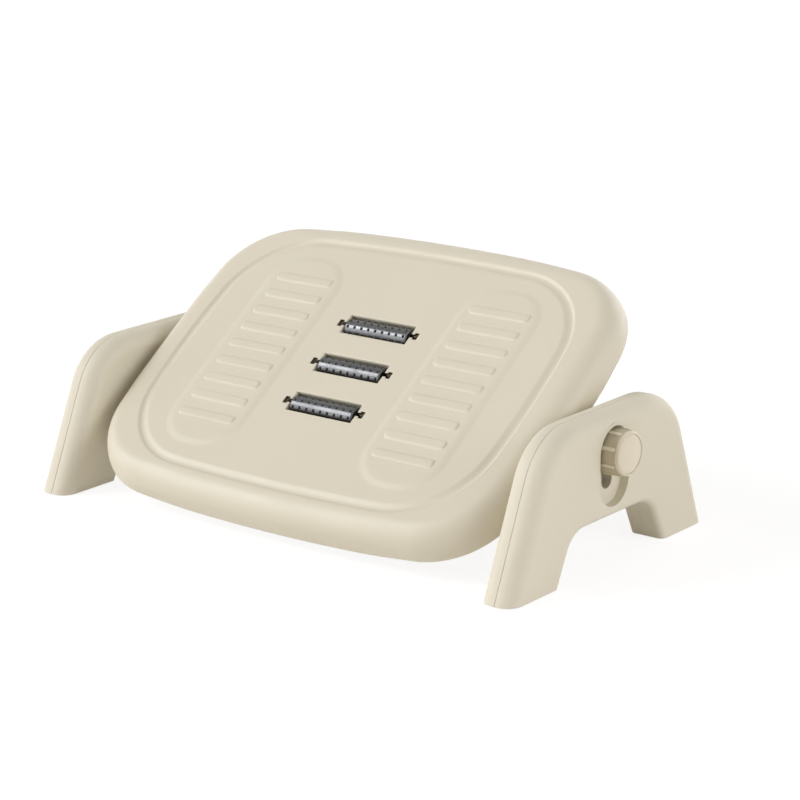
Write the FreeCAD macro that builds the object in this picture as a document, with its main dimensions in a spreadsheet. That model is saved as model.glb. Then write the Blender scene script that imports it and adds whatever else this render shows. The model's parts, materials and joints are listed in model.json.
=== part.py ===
"""Under-desk foot rest with a tilting platform, three massage rollers and two side stands.

The frame stands on the floor between the four feet, +X to the sitter's right,
+Y away from the sitter and +Z up. The platform is stored as the photograph
shows it: at the top of the stands' slots, with its front edge low.

Platform pieces are drawn lying flat, in a frame whose X axis is the tilt axis,
and then turned by the resting tilt and lifted to the height of that axis.
"""

import FreeCAD, Part
import math
import os

import Sketcher

DOC = FreeCAD.newDocument("massage_roller_foot_rest")
SHEET = DOC.addObject("Spreadsheet::Sheet", "Sizes")

# Driving sizes, in millimetres, degrees and counts

SIZES = (
    # The platform's outline and section
    ("plate_half_width", 227.5, "half of the platform's 455 mm width"),
    ("plate_half_depth", 166.3, "half of its depth, front to rear"),
    ("plate_end_bow", 3100.0, "radius of its bowed front and rear edges"),
    ("plate_side_bow", 3000.0, "radius of its bowed sides"),
    ("plate_corner", 81.0, "corner radius of the outline"),
    ("plate_depth", 37.0, "from the panel's plane down to the underside"),
    ("crown_radius", 19.0, "rounding over the rim"),
    ("turn_radius", 8.0, "rounding under the rim"),
    ("plate_wall", 3.0, "wall of the platform's shell"),
    ("panel_half_width", 200.2, "half width of the panel, out to the groove's outer edge"),
    ("panel_half_depth", 146.3, "half depth of that panel"),
    ("panel_end_bow", 2515.0, "radius of the panel's bowed front and rear"),
    ("panel_side_bow", 812.0, "radius of the panel's bowed sides"),
    ("panel_corner", 88.0, "corner radius of the panel"),
    ("lip_width", 27.0, "underside lip around the bottom cover"),
    ("groove_width", 12.0, "decorative channel around the panel"),
    ("groove_depth", 1.8, "depth of the channel"),
    ("groove_outer_slope", 4.0, "width of the channel's side towards the rim"),
    ("groove_inner_slope", 7.0, "width of its gentler side towards the panel"),
    ("groove_clear", 1.0, "how far the channel's cut runs on above the panel"),
    ("plate_rib", 2.0, "thickness of the ribs under the panel"),
    ("plate_rib_depth", 12.0, "how far the ribs hang"),
    ("rib_spacing", 63.0, "spacing of the ribs from front to rear"),
    # How the platform hangs on its axis
    ("tilt", 35.14, "angle of the panel at rest, front edge low"),
    ("axis_height", 101.0, "tilt axis above the floor, at the top of its travel"),
    ("height_travel", 27.0, "how far the axis can be lowered in the slots"),
    ("axis_below_panel", 38.3, "tilt axis under the panel's plane"),
    ("plate_shift", 3.7, "middle of the platform behind the tilt axis"),
    ("ear_radius", 17.0, "round pivot ear on each side of the platform"),
    ("ear_length", 30.0, "length of the ear along the axis"),
    ("ear_web", 6.0, "web between the ear and the panel"),
    # Raised foot zones and their bars
    ("zone_centre", 112.0, "middle of each foot zone from the centre line"),
    ("zone_half_width", 41.0, "half width of a zone, at the middle of its slope"),
    ("zone_half_length", 115.0, "half length of a zone"),
    ("zone_corner", 36.0, "corner radius of a zone"),
    ("zone_slope", 9.0, "width of the slope around a zone"),
    ("zone_rise", 1.3, "height of a zone above the panel"),
    ("zone_root", 0.8, "how far zones and bars start below what they stand on"),
    ("bar_length", 65.0, "raised bar, across the platform"),
    ("bar_width", 9.6, "raised bar, front to rear"),
    ("bar_rise", 1.2, "height of a bar above its zone"),
    ("bar_corner", 4.0, "corner radius of a bar"),
    ("bar_edge", 0.8, "bevel along the top of a bar"),
    ("bar_pitch", 21.55, "spacing of the bars"),
    ("bar_shift", 2.4, "middle bar behind the middle of the panel"),
    # Rollers, their windows and cradles
    ("window_length", 74.0, "window of a roller, across the platform"),
    ("window_width", 22.0, "window of a roller, front to rear"),
    ("window_pitch", 48.0, "spacing of the three windows"),
    ("neck_width", 4.1, "slot for the axle beside the window"),
    ("neck_reach", 3.6, "length of that slot"),
    ("head_width", 7.6, "pocket for the axle's collar"),
    ("head_reach", 4.6, "length of that pocket"),
    ("head_room", 0.5, "collar clear of the pocket's inner end"),
    ("roller_depth", 6.9, "axle's middle below the panel's plane"),
    ("roller_radius", 9.3, "roller without its studs"),
    ("roller_length", 70.0, "length of the roller"),
    ("roller_bevel", 0.8, "bevel at the roller's ends"),
    ("stud_radius", 1.25, "massage stud"),
    ("stud_rise", 1.0, "height of a stud"),
    ("stud_pitch", 7.9, "spacing of studs along the roller"),
    ("front_turn", 2.0, "how far the front roller's first row of studs leans forward"),
    ("middle_turn", 5.0, "the same on the middle roller"),
    ("rear_turn", 25.0, "the same on the rear roller"),
    ("axle_radius", 2.0, "steel axle"),
    ("collar_radius", 3.25, "collar at each end of the axle"),
    ("collar_length", 3.5, "length of the collar"),
    ("cradle_wall", 2.0, "wall of the cradle under a window"),
    ("cradle_room", 0.6, "cradle's inside beyond the window's edge"),
    ("cradle_floor_room", 1.0, "space under the studs"),
    ("cradle_boss", 11.5, "boss between the panel and that tab"),
    ("cradle_tab", 9.0, "screw tab at each end of a cradle"),
    ("cradle_tab_width", 12.0, "width of that tab"),
    # The stands
    ("side_gap", 7.5, "between the platform's edge and a stand"),
    ("stand_thickness", 35.0, "both shells together"),
    ("stand_height", 135.0, "top of a stand above the floor"),
    ("foot_half", 150.0, "half of the 300 mm between toe and heel"),
    ("shoulder_front", 91.5, "top corner towards the sitter, before rounding"),
    ("shoulder_rear", 99.5, "top corner away from the sitter, before rounding"),
    ("shoulder_radius", 60.0, "rounding of the shoulders"),
    ("arch_half", 80.2, "half width of the arch at the floor"),
    ("arch_top_half", 59.4, "half width of the arch at its top"),
    ("arch_height", 43.0, "top of the arch above the floor"),
    ("arch_radius", 28.0, "rounding of the arch's corners"),
    ("outer_edge_radius", 14.0, "soft edge along the outside of each shell"),
    ("arch_edge_radius", 6.0, "soft edge along the arch"),
    ("stand_wall", 3.0, "wall of a stand's shell"),
    ("seam_bevel", 0.5, "bevel along the seam between the shells"),
    ("recess_radius", 22.0, "recess that the knob runs in"),
    ("recess_depth", 8.0, "depth of the recess"),
    ("slot_radius", 7.8, "half width of the height slot"),
    ("tunnel_wall", 2.7, "wall around the slot inside the stand"),
    ("post_radius", 4.5, "locating post inside the shells"),
    ("peg_radius", 2.4, "peg on the outer shell's post"),
    ("peg_length", 8.0, "length of the peg"),
    ("low_post_height", 26.0, "lower posts above the floor, in the middle of the legs"),
    ("high_post_inset", 13.3, "upper posts in from the shoulders"),
    ("high_post_height", 85.0, "upper posts above the floor"),
    # Rubber pads under the feet
    ("pad_length", 46.0, "pad, front to rear"),
    ("pad_width", 22.0, "pad, across the foot"),
    ("pad_thickness", 2.0, "thickness of a pad"),
    ("pad_proud", 0.6, "how far a pad stands out of its foot"),
    ("pad_corner", 6.0, "corner radius of a pad"),
    # Pivot bolts, washers and bushes
    ("bolt_radius", 4.0, "M8 bolt"),
    ("bolt_flats", 13.0, "hexagon across flats"),
    ("bolt_head", 5.3, "thickness of the bolt's head"),
    ("bolt_end_room", 5.0, "space beyond the bolt's end inside the knob"),
    ("friction_washer_radius", 16.0, "washer between ear and stand"),
    ("friction_washer", 2.0, "its thickness"),
    ("clamp_washer_radius", 15.0, "washer under the knob"),
    ("clamp_washer", 1.6, "its thickness"),
    ("clamp_washer_room", 0.4, "its hole beyond the bolt"),
    ("bush_end_room", 0.3, "slide bush short of the washer at each end"),
    # The knobs
    ("knob_height", 22.4, "knob from its base to the face"),
    ("knob_radius", 19.6, "body of the knob"),
    ("knob_wall", 2.4, "wall of the knob"),
    ("knob_face", 4.0, "thickness of the face behind the cap"),
    ("knob_edge", 1.6, "rounding of the knob's edges"),
    ("knob_hub_radius", 11.0, "hub around the nut"),
    ("knob_ridges", 8, "grip ridges"),
    ("ridge_radius", 2.2, "a ridge's rounding"),
    ("ridge_centre", 19.0, "a ridge's middle from the axis"),
    ("ridge_length", 16.0, "straight length of a ridge"),
    ("ridge_turn", 24.0, "how far the first ridge leans from straight down"),
    ("nut_thickness", 6.5, "nut in the knob"),
    ("nut_sink", 0.4, "nut below the knob's base"),
    ("cap_radius", 16.8, "domed cap in the knob's face"),
    ("cap_seat", 1.6, "depth of the cap's seat"),
    ("cap_edge", 0.7, "thickness of the cap at its edge"),
    ("cap_dome", 2.6, "dome of the cap above its edge"),
    # Small screws
    ("screw_radius", 1.55, "shank of a small screw"),
    ("screw_head_radius", 3.6, "head of a small screw"),
    ("screw_head", 2.2, "thickness of that head"),
    ("screw_room", 0.4, "clearance hole around the shank"),
    ("screw_length", 12.0, "shank under the head"),
    ("boss_radius", 4.6, "screw boss under the panel"),
    ("side_screw_inset", 49.5, "side screws in from the platform's edge"),
    ("side_screw_spread", 85.0, "side screws before and behind the middle"),
    ("end_screw_reach", 70.0, "front and rear screws from the centre line"),
    ("end_screw_inset", 44.3, "front and rear screws in from the platform's edge"),
    # Cuts and fits
    ("past", 1.0, "how far a cut runs on past a face"),
    ("running_fit", 0.05, "between a shaft and its hole"),
    ("slide_fit", 0.1, "between a bush and its slot"),
    ("seat_fit", 0.1, "between a piece and the pocket it sits in"),
)


class Bound:
    """A number, with the formula that ties it to the sheet."""

    def __init__(self, value, text):
        self.value = value
        self.text = text

    def __add__(self, other):
        other = tied(other)
        return Bound(self.value + other.value, "(%s + %s)" % (self.text, other.text))

    def __sub__(self, other):
        other = tied(other)
        return Bound(self.value - other.value, "(%s - %s)" % (self.text, other.text))

    def __mul__(self, other):
        other = tied(other)
        return Bound(self.value * other.value, "(%s * %s)" % (self.text, other.text))

    def __truediv__(self, other):
        other = tied(other)
        return Bound(self.value / other.value, "(%s / %s)" % (self.text, other.text))

    def __neg__(self):
        return Bound(-self.value, "(0 - %s)" % self.text)

    def __radd__(self, other):
        return tied(other) + self

    def __rsub__(self, other):
        return tied(other) - self

    def __rmul__(self, other):
        return tied(other) * self

    def __float__(self):
        return float(self.value)


def tied(value):
    """The value as a Bound, whether it is one already or a plain number."""
    if isinstance(value, Bound):
        return value
    return Bound(float(value), "(%r)" % float(value))


class SheetSizes:
    """Every size of the sheet as an attribute."""


size = SheetSizes()
for row, (name, number, note) in enumerate(SIZES, start=1):
    SHEET.set("A%d" % row, name)
    SHEET.set("B%d" % row, str(number))
    SHEET.set("C%d" % row, note)
    SHEET.setAlias("B%d" % row, name)
    setattr(size, name, Bound(float(number), "Sizes.%s" % name))
DOC.recompute()


# Sheet-bound building blocks

BAR_COUNT = 9
STUDS_ALONG = 9
STUD_ROWS = 9


def vector(x, y, z):
    return FreeCAD.Vector(float(x), float(y), float(z))


def bind(thing, prop, amount):
    """Tie a property of an object to the sheet."""
    thing.setExpression(prop, tied(amount).text)


def put(thing, x=0, y=0, z=0, rotation=None):
    """Place an object, each coordinate tied to the sheet."""
    if rotation is not None:
        thing.Placement = FreeCAD.Placement(vector(0, 0, 0), rotation)
    for axis, amount in zip("xyz", (x, y, z)):
        bind(thing, "Placement.Base.%s" % axis, amount)
    return thing


def box(name, start, span):
    """A box from its lowest corner and its three spans."""
    thing = DOC.addObject("Part::Box", name)
    for prop, amount in zip(("Length", "Width", "Height"), span):
        bind(thing, prop, amount)
    return put(thing, *start)


def centred_box(name, middle, span):
    """A box centred on X and Y, standing on the given height."""
    x, y, z = middle
    return box(name, (x - span[0] / 2, y - span[1] / 2, z), span)


ALONG_X = FreeCAD.Rotation(FreeCAD.Vector(0, 1, 0), 90)


def rod(name, start, length, radius):
    """A round bar along X from its lower end."""
    thing = DOC.addObject("Part::Cylinder", name)
    bind(thing, "Radius", radius)
    bind(thing, "Height", length)
    return put(thing, *start, rotation=ALONG_X)


def peg(name, start, height, radius):
    """A round bar standing upright on its start."""
    thing = DOC.addObject("Part::Cylinder", name)
    bind(thing, "Radius", radius)
    bind(thing, "Height", height)
    return put(thing, *start)


def hexagon(name, start, length, flats):
    """A hexagonal bar along X, given by its width across flats."""
    thing = DOC.addObject("Part::Prism", name)
    thing.Polygon = 6
    bind(thing, "Circumradius", tied(flats) / math.sqrt(3.0))
    bind(thing, "Height", length)
    return put(thing, *start, rotation=ALONG_X)


def fuse(name, pieces):
    thing = DOC.addObject("Part::MultiFuse", name)
    thing.Shapes = list(pieces)
    return thing


def cut(name, base, tool):
    thing = DOC.addObject("Part::Cut", name)
    thing.Base = base
    thing.Tool = tool
    return thing


def on_platform(thing):
    """Turn a flat-drawn platform piece to the resting tilt and lift it to the axis."""
    thing.Placement = FreeCAD.Placement(vector(0, 0, 0), FreeCAD.Rotation(vector(1, 0, 0), 1))
    bind(thing, "Placement.Rotation.Angle", size.tilt)
    bind(thing, "Placement.Base.z", size.axis_height)
    return thing


def outward(side, start, length):
    """Lower X of a span that begins at a distance from the centre line, on either side."""
    return start if side > 0 else -(start + length)


# Bodies, sketches and features


def new_body(name):
    return DOC.addObject("PartDesign::Body", name)


def origin_part(body, role):
    for feature in body.Origin.OriginFeatures:
        if feature.Role == role:
            return feature
    raise ValueError("no %s in %s" % (role, body.Name))


def new_sketch(body, name, plane, offset=0):
    """A sketch on one of the body's own planes, moved along its normal."""
    sketch = body.newObject("Sketcher::SketchObject", name)
    sketch.AttachmentSupport = [(origin_part(body, plane), "")]
    sketch.MapMode = "FlatFace"
    bind(sketch, "AttachmentOffset.Base.z", offset)
    return sketch


def fix(sketch, kind, geometry, point, amount):
    """Hold one coordinate of a sketched point at a distance from the origin."""
    amount = tied(amount)
    if abs(amount.value) < 1e-9:
        axis = -2 if kind == "DistanceX" else -1
        sketch.addConstraint(Sketcher.Constraint("PointOnObject", geometry, point, axis))
        return
    if amount.value > 0:
        rule = Sketcher.Constraint(kind, -1, 1, geometry, point, amount.value)
    else:
        amount = -amount
        rule = Sketcher.Constraint(kind, geometry, point, -1, 1, amount.value)
    number = sketch.addConstraint(rule)
    bind(sketch, "Constraints[%d]" % number, amount)


def polygon(sketch, points):
    """A closed outline of straight lines, every corner tied to the sheet."""
    first = sketch.GeometryCount
    count = len(points)
    places = [vector(x, y, 0) for x, y in points]
    for index, place in enumerate(places):
        sketch.addGeometry(Part.LineSegment(place, places[(index + 1) % count]))
    for index in range(count):
        following = first + (index + 1) % count
        sketch.addConstraint(Sketcher.Constraint("Coincident", first + index, 2, following, 1))
    for index, (x, y) in enumerate(points):
        fix(sketch, "DistanceX", first + index, 1, x)
        fix(sketch, "DistanceY", first + index, 1, y)


def circle(sketch, x, y, radius):
    radius = tied(radius)
    number = sketch.addGeometry(Part.Circle(vector(x, y, 0), vector(0, 0, 1), radius.value))
    rule = sketch.addConstraint(Sketcher.Constraint("Radius", number, radius.value))
    bind(sketch, "Constraints[%d]" % rule, radius)
    fix(sketch, "DistanceX", number, 3, x)
    fix(sketch, "DistanceY", number, 3, y)


def bowed_outline(sketch, half_width, half_depth, end_bow, side_bow, corner):
    """A rounded oblong of eight tangent arcs, its four sides bowed outwards."""
    end_middle = vector(0, half_depth - end_bow, 0)
    side_middle = vector(half_width - side_bow, 0, 0)
    apart = side_middle - end_middle
    end_reach = float(end_bow - corner)
    side_reach = float(side_bow - corner)
    along = (end_reach ** 2 - side_reach ** 2 + apart.Length ** 2) / (2 * apart.Length)
    offset = math.sqrt(end_reach ** 2 - along ** 2)
    ahead = apart / apart.Length
    middle = end_middle + ahead * along + vector(ahead.y, -ahead.x, 0) * offset
    low = math.atan2(middle.y - side_middle.y, middle.x - side_middle.x)
    high = math.atan2(middle.y - end_middle.y, middle.x - end_middle.x)
    x, y, turn = middle.x, middle.y, math.pi
    arcs = (
        (side_middle.x, 0, side_bow, -low, low),
        (x, y, corner, low, high),
        (0, end_middle.y, end_bow, high, turn - high),
        (-x, y, corner, turn - high, turn - low),
        (-side_middle.x, 0, side_bow, turn - low, turn + low),
        (-x, -y, corner, turn + low, turn + high),
        (0, -end_middle.y, end_bow, turn + high, 2 * turn - high),
        (x, -y, corner, 2 * turn - high, 2 * turn - low),
    )
    first = sketch.GeometryCount
    for centre_x, centre_y, radius, start, end in arcs:
        ring = Part.Circle(vector(centre_x, centre_y, 0), vector(0, 0, 1), float(radius))
        sketch.addGeometry(Part.ArcOfCircle(ring, start, end))
    for number in range(8):
        following = first + (number + 1) % 8
        sketch.addConstraint(Sketcher.Constraint("Tangent", first + number, 2, following, 1))
    for number, arc in enumerate(arcs):
        radius = tied(arc[2])
        rule = sketch.addConstraint(Sketcher.Constraint("Radius", first + number, radius.value))
        bind(sketch, "Constraints[%d]" % rule, radius)
    for number, x, y in (
        (0, half_width - side_bow, 0),
        (2, 0, half_depth - end_bow),
        (4, side_bow - half_width, 0),
        (6, 0, end_bow - half_depth),
    ):
        fix(sketch, "DistanceX", first + number, 3, x)
        fix(sketch, "DistanceY", first + number, 3, y)


def rounded_oblong(sketch, half_width, half_length, corner):
    """A rectangle around the sketch's origin with four quarter-round corners."""
    x, y = float(half_width), float(half_length)
    radius = float(corner)
    quarter = math.pi / 2
    first = sketch.GeometryCount
    for number, (across, along) in enumerate(((1, 1), (-1, 1), (-1, -1), (1, -1))):
        middle = vector(across * (x - radius), along * (y - radius), 0)
        ring = Part.Circle(middle, vector(0, 0, 1), radius)
        arc = Part.ArcOfCircle(ring, number * quarter, (number + 1) * quarter)
        sketch.addGeometry(arc)
        ahead = vector(-across * (x - radius), along * (y - radius), 0)
        if number % 2:
            ahead = vector(across * (x - radius), -along * (y - radius), 0)
        end = quarter * (number + 1)
        out = vector(math.cos(end), math.sin(end), 0) * radius
        sketch.addGeometry(Part.LineSegment(middle + out, ahead + out))
    for number in range(8):
        following = first + (number + 1) % 8
        sketch.addConstraint(Sketcher.Constraint("Tangent", first + number, 2, following, 1))
    for number, (across, along) in enumerate(((1, 1), (-1, 1), (-1, -1), (1, -1))):
        fix(sketch, "DistanceX", first + 2 * number, 3, across * (half_width - corner))
        fix(sketch, "DistanceY", first + 2 * number, 3, along * (half_length - corner))
    rule = sketch.addConstraint(Sketcher.Constraint("Radius", first, radius))
    bind(sketch, "Constraints[%d]" % rule, corner)


def upright_slot(sketch, low, high, radius):
    """A round-ended slot on the sketch's Y axis, between two arc middles."""
    low, high, radius = tied(low), tied(high), tied(radius)
    first = sketch.GeometryCount
    reach = radius.value
    top = Part.Circle(vector(0, high, 0), vector(0, 0, 1), reach)
    bottom = Part.Circle(vector(0, low, 0), vector(0, 0, 1), reach)
    sketch.addGeometry(Part.ArcOfCircle(top, 0, math.pi))
    sketch.addGeometry(Part.LineSegment(vector(-reach, high, 0), vector(-reach, low, 0)))
    sketch.addGeometry(Part.ArcOfCircle(bottom, math.pi, 2 * math.pi))
    sketch.addGeometry(Part.LineSegment(vector(reach, low, 0), vector(reach, high, 0)))
    joints = ((first, 2, first + 1, 1), (first + 1, 2, first + 2, 1))
    joints += ((first + 2, 2, first + 3, 1), (first + 3, 2, first, 1))
    for joint in joints:
        sketch.addConstraint(Sketcher.Constraint("Tangent", *joint))
    for number in (first, first + 2):
        sketch.addConstraint(Sketcher.Constraint("PointOnObject", number, 3, -2))
    fix(sketch, "DistanceY", first, 3, high)
    fix(sketch, "DistanceY", first + 2, 3, low)
    rule = sketch.addConstraint(Sketcher.Constraint("Radius", first, reach))
    bind(sketch, "Constraints[%d]" % rule, radius)


def pad(body, sketch, length, back=False):
    feature = body.newObject("PartDesign::Pad", sketch.Name + "_pad")
    feature.Profile = sketch
    feature.Reversed = back
    bind(feature, "Length", length)
    sketch.Visibility = False
    return feature


def pocket(body, sketch, depth=None, forward=False):
    """Cut a sketch away, against its normal or along it; no depth goes right through."""
    feature = body.newObject("PartDesign::Pocket", sketch.Name + "_pocket")
    feature.Profile = sketch
    feature.Reversed = forward
    if depth is None:
        feature.Type = "ThroughAll"
    else:
        bind(feature, "Length", depth)
    sketch.Visibility = False
    return feature


def edge_names(feature, wanted):
    """Names of the edges of a finished feature that pass a test."""
    DOC.recompute()
    edges = enumerate(feature.Shape.Edges, start=1)
    return ["Edge%d" % number for number, edge in edges if wanted(edge)]


def dress(body, kind, feature, wanted, amount):
    """A fillet or a chamfer on the edges that pass a test."""
    edges = edge_names(feature, wanted)
    if not edges:
        raise ValueError("no edges to dress on %s" % feature.Name)
    dressed = body.newObject("PartDesign::%s" % kind, "%s_%s" % (feature.Name, kind.lower()))
    dressed.Base = (feature, edges)
    bind(dressed, "Radius" if kind == "Fillet" else "Size", amount)
    return dressed


def turned_around(body, name, section, axis):
    """Turn a section fully around one of its own axes."""
    turned = body.newObject("PartDesign::Revolution", name)
    turned.Profile = section
    turned.ReferenceAxis = (section, [axis])
    turned.Angle = 360
    section.Visibility = False
    DOC.recompute()
    return turned


def near(first, second):
    return abs(float(first) - float(second)) < 1e-4


# Stands: two moulded shells each, joined along a seam at mid thickness

STAND_FACE = size.plate_half_width + size.side_gap
SHELL_DEPTH = size.stand_thickness / 2
SEAM = STAND_FACE + SHELL_DEPTH
OUTER_FACE = STAND_FACE + size.stand_thickness
LOW_AXIS = size.axis_height - size.height_travel

STAND_OUTLINE = (
    (-size.foot_half, size.pad_proud),
    (-size.arch_half, size.pad_proud),
    (-size.arch_top_half, size.arch_height),
    (size.arch_top_half, size.arch_height),
    (size.arch_half, size.pad_proud),
    (size.foot_half, size.pad_proud),
    (size.shoulder_rear, size.stand_height),
    (-size.shoulder_front, size.stand_height),
)

PAD_MIDDLE = (size.foot_half + size.arch_half) / 2


def leg_middle(height):
    """Distance of a leg's middle from the stand's middle, at a height."""
    up = height - size.pad_proud
    outer_lean = (size.foot_half - size.shoulder_rear) / (size.stand_height - size.pad_proud)
    inner_lean = (size.arch_half - size.arch_top_half) / (size.arch_height - size.pad_proud)
    return PAD_MIDDLE - (outer_lean + inner_lean) * up / 2


POSTS = tuple(
    (turn * side, height)
    for turn, shoulder in ((-1, size.shoulder_front), (1, size.shoulder_rear))
    for side, height in (
        (leg_middle(size.low_post_height), size.low_post_height),
        (shoulder - size.high_post_inset, size.high_post_height),
    )
)


def is_corner(front, rear, height):
    """Test for an edge across the stand at one of two corners of its outline."""

    def wanted(edge):
        ends = [vertex.Point for vertex in edge.Vertexes]
        in_line = near(ends[0].y, ends[-1].y) and all(near(end.z, height) for end in ends)
        return in_line and (near(ends[0].y, -front) or near(ends[0].y, rear))

    return wanted


def in_plane(edge, x):
    return all(near(vertex.Point.x, x) for vertex in edge.Vertexes) and near(edge.CenterOfMass.x, x)


def along_arch(edge):
    middle = edge.CenterOfMass
    low = middle.z < float(size.arch_height) + 0.1 and abs(middle.y) < float(size.arch_half)
    return low and middle.z > float(size.pad_proud) + 0.1


def along_outside(edge):
    middle = edge.CenterOfMass
    return not along_arch(edge) and middle.z > float(size.pad_proud) + 0.1


def stand_shell(name, outer):
    """One shell of the right stand: a rounded arch, hollow towards the seam."""
    face = OUTER_FACE if outer else STAND_FACE
    shell = new_body(name)
    profile = new_sketch(shell, name + "_profile", "YZ_Plane", SEAM)
    polygon(profile, STAND_OUTLINE)
    form = pad(shell, profile, SHELL_DEPTH, back=not outer)
    shoulder = is_corner(size.shoulder_front, size.shoulder_rear, size.stand_height)
    form = dress(shell, "Fillet", form, shoulder, size.shoulder_radius)
    arch = is_corner(size.arch_top_half, size.arch_top_half, size.arch_height)
    form = dress(shell, "Fillet", form, arch, size.arch_radius)
    form = dress(
        shell, "Fillet", form,
        lambda edge: in_plane(edge, face) and along_outside(edge),
        size.outer_edge_radius,
    )
    form = dress(
        shell, "Fillet", form,
        lambda edge: in_plane(edge, face) and along_arch(edge),
        size.arch_edge_radius,
    )
    form = dress(
        shell, "Chamfer", form,
        lambda edge: in_plane(edge, SEAM) and edge.CenterOfMass.z > float(size.pad_proud) + 0.1,
        size.seam_bevel,
    )
    DOC.recompute()
    seam_faces = [
        "Face%d" % number
        for number, side in enumerate(form.Shape.Faces, start=1)
        if near(side.BoundBox.XLength, 0) and near(side.BoundBox.XMin, SEAM)
    ]
    hollow = shell.newObject("PartDesign::Thickness", name + "_hollow")
    hollow.Base = (form, seam_faces)
    hollow.Reversed = True
    bind(hollow, "Value", size.stand_wall)
    return shell


def right_stand_shell(outer):
    """A shell of the right stand with its slot, posts and pad seats."""
    name = "right_stand_%s_shell" % ("outer" if outer else "inner")
    shell = stand_shell(name, outer)
    into_wall = SHELL_DEPTH - size.stand_wall / 2
    posts = new_sketch(shell, name + "_posts", "YZ_Plane", SEAM)
    for side, height in POSTS:
        circle(posts, side, height, size.post_radius)
    pad(shell, posts, into_wall, back=not outer)
    tunnel = new_sketch(shell, name + "_tunnel", "YZ_Plane", SEAM)
    upright_slot(tunnel, LOW_AXIS, size.axis_height, size.slot_radius + size.tunnel_wall)
    pad(shell, tunnel, into_wall, back=not outer)
    pegs = new_sketch(shell, name + "_pegs", "YZ_Plane", SEAM)
    if outer:
        cup = new_sketch(shell, name + "_cup", "YZ_Plane", OUTER_FACE)
        upright_slot(cup, LOW_AXIS, size.axis_height, size.recess_radius + size.stand_wall)
        pad(shell, cup, size.recess_depth + size.stand_wall, back=True)
        recess = new_sketch(shell, name + "_recess", "YZ_Plane", OUTER_FACE)
        upright_slot(recess, LOW_AXIS, size.axis_height, size.recess_radius)
        pocket(shell, recess, size.recess_depth)
        for side, height in POSTS:
            circle(pegs, side, height, size.peg_radius)
        pad(shell, pegs, size.peg_length, back=True)
    else:
        for side, height in POSTS:
            circle(pegs, side, height, size.peg_radius + size.running_fit)
        pocket(shell, pegs, size.peg_length + size.seat_fit)
    slot = new_sketch(shell, name + "_slot", "YZ_Plane", OUTER_FACE)
    upright_slot(slot, LOW_AXIS, size.axis_height, size.slot_radius)
    pocket(shell, slot)
    seats = new_sketch(shell, name + "_pad_seats", "XY_Plane", size.pad_proud)
    half_width = size.pad_width / 2 + size.seat_fit
    half_length = size.pad_length / 2 + size.seat_fit
    for turn in (-1, 1):
        near_edge = turn * PAD_MIDDLE - half_length
        far_edge = turn * PAD_MIDDLE + half_length
        left, right = SEAM - half_width, SEAM + half_width
        corners = ((left, near_edge), (right, near_edge), (right, far_edge), (left, far_edge))
        polygon(seats, corners)
    pocket(shell, seats, size.pad_thickness - size.pad_proud, forward=True)
    return shell


def mirrored(source, name):
    """The same piece on the left side."""
    twin = DOC.addObject("Part::Mirroring", name)
    twin.Source = source
    twin.Normal = (1, 0, 0)
    return twin


def foot_pad(name, side, turn):
    """A rubber pad under the toe or the heel of a stand, with rounded corners."""
    span = (size.pad_width, size.pad_length, size.pad_thickness)
    block = centred_box(name + "_block", (side * SEAM, turn * PAD_MIDDLE, tied(0)), span)
    DOC.recompute()
    upright = [
        number
        for number, edge in enumerate(block.Shape.Edges, start=1)
        if near(edge.BoundBox.ZLength, size.pad_thickness)
    ]
    rounded = DOC.addObject("Part::Fillet", name)
    rounded.Base = block
    rounded.Edges = [(number, float(size.pad_corner), float(size.pad_corner)) for number in upright]
    return rounded


# Platform: a deep, rounded shell, drawn flat around the tilt axis

PANEL = size.axis_below_panel
UNDERSIDE = PANEL - size.plate_depth


def plate_sketch(name, inset, height):
    """The platform's outline at a height, drawn in by the same amount all round."""
    sketch = DOC.addObject("Sketcher::SketchObject", name)
    bowed_outline(
        sketch,
        size.plate_half_width - inset,
        size.plate_half_depth - inset,
        size.plate_end_bow - inset,
        size.plate_side_bow - inset,
        size.plate_corner - inset,
    )
    return put(sketch, 0, size.plate_shift, height)


def panel_sketch(name, inset, height):
    """The groove's outline at a height, drawn in by the same amount all round."""
    sketch = DOC.addObject("Sketcher::SketchObject", name)
    bowed_outline(
        sketch,
        size.panel_half_width - inset,
        size.panel_half_depth - inset,
        size.panel_end_bow - inset,
        size.panel_side_bow - inset,
        size.panel_corner - inset,
    )
    return put(sketch, 0, size.plate_shift, height)


def raised(name, sketch, height):
    """A sketch drawn up into a solid."""
    thing = DOC.addObject("Part::Extrusion", name)
    thing.Base = sketch
    thing.Dir = (0, 0, 1)
    thing.Solid = True
    bind(thing, "LengthFwd", height)
    return thing


def lofted(name, *sketches):
    """A straight-sided solid between sketches at different heights."""
    thing = DOC.addObject("Part::Loft", name)
    thing.Sections = list(sketches)
    thing.Solid = True
    thing.Ruled = True
    return thing


def rounded_edges(name, base, groups, kind="Fillet"):
    """Round or bevel edges of a finished solid: pairs of a test and a radius."""
    DOC.recompute()
    picked = []
    for wanted, radius in groups:
        for number, edge in enumerate(base.Shape.Edges, start=1):
            if wanted(edge):
                picked.append((number, float(radius), float(radius)))
    thing = DOC.addObject("Part::" + kind, name)
    thing.Base = base
    thing.Edges = picked
    return thing


def at_height(height):
    """Test for an edge that lies level at a height."""

    def wanted(edge):
        limits = edge.BoundBox
        return near(limits.ZMin, height) and near(limits.ZMax, height)

    return wanted


def is_upright(edge):
    return near(edge.BoundBox.XLength, 0) and near(edge.BoundBox.YLength, 0)


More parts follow.
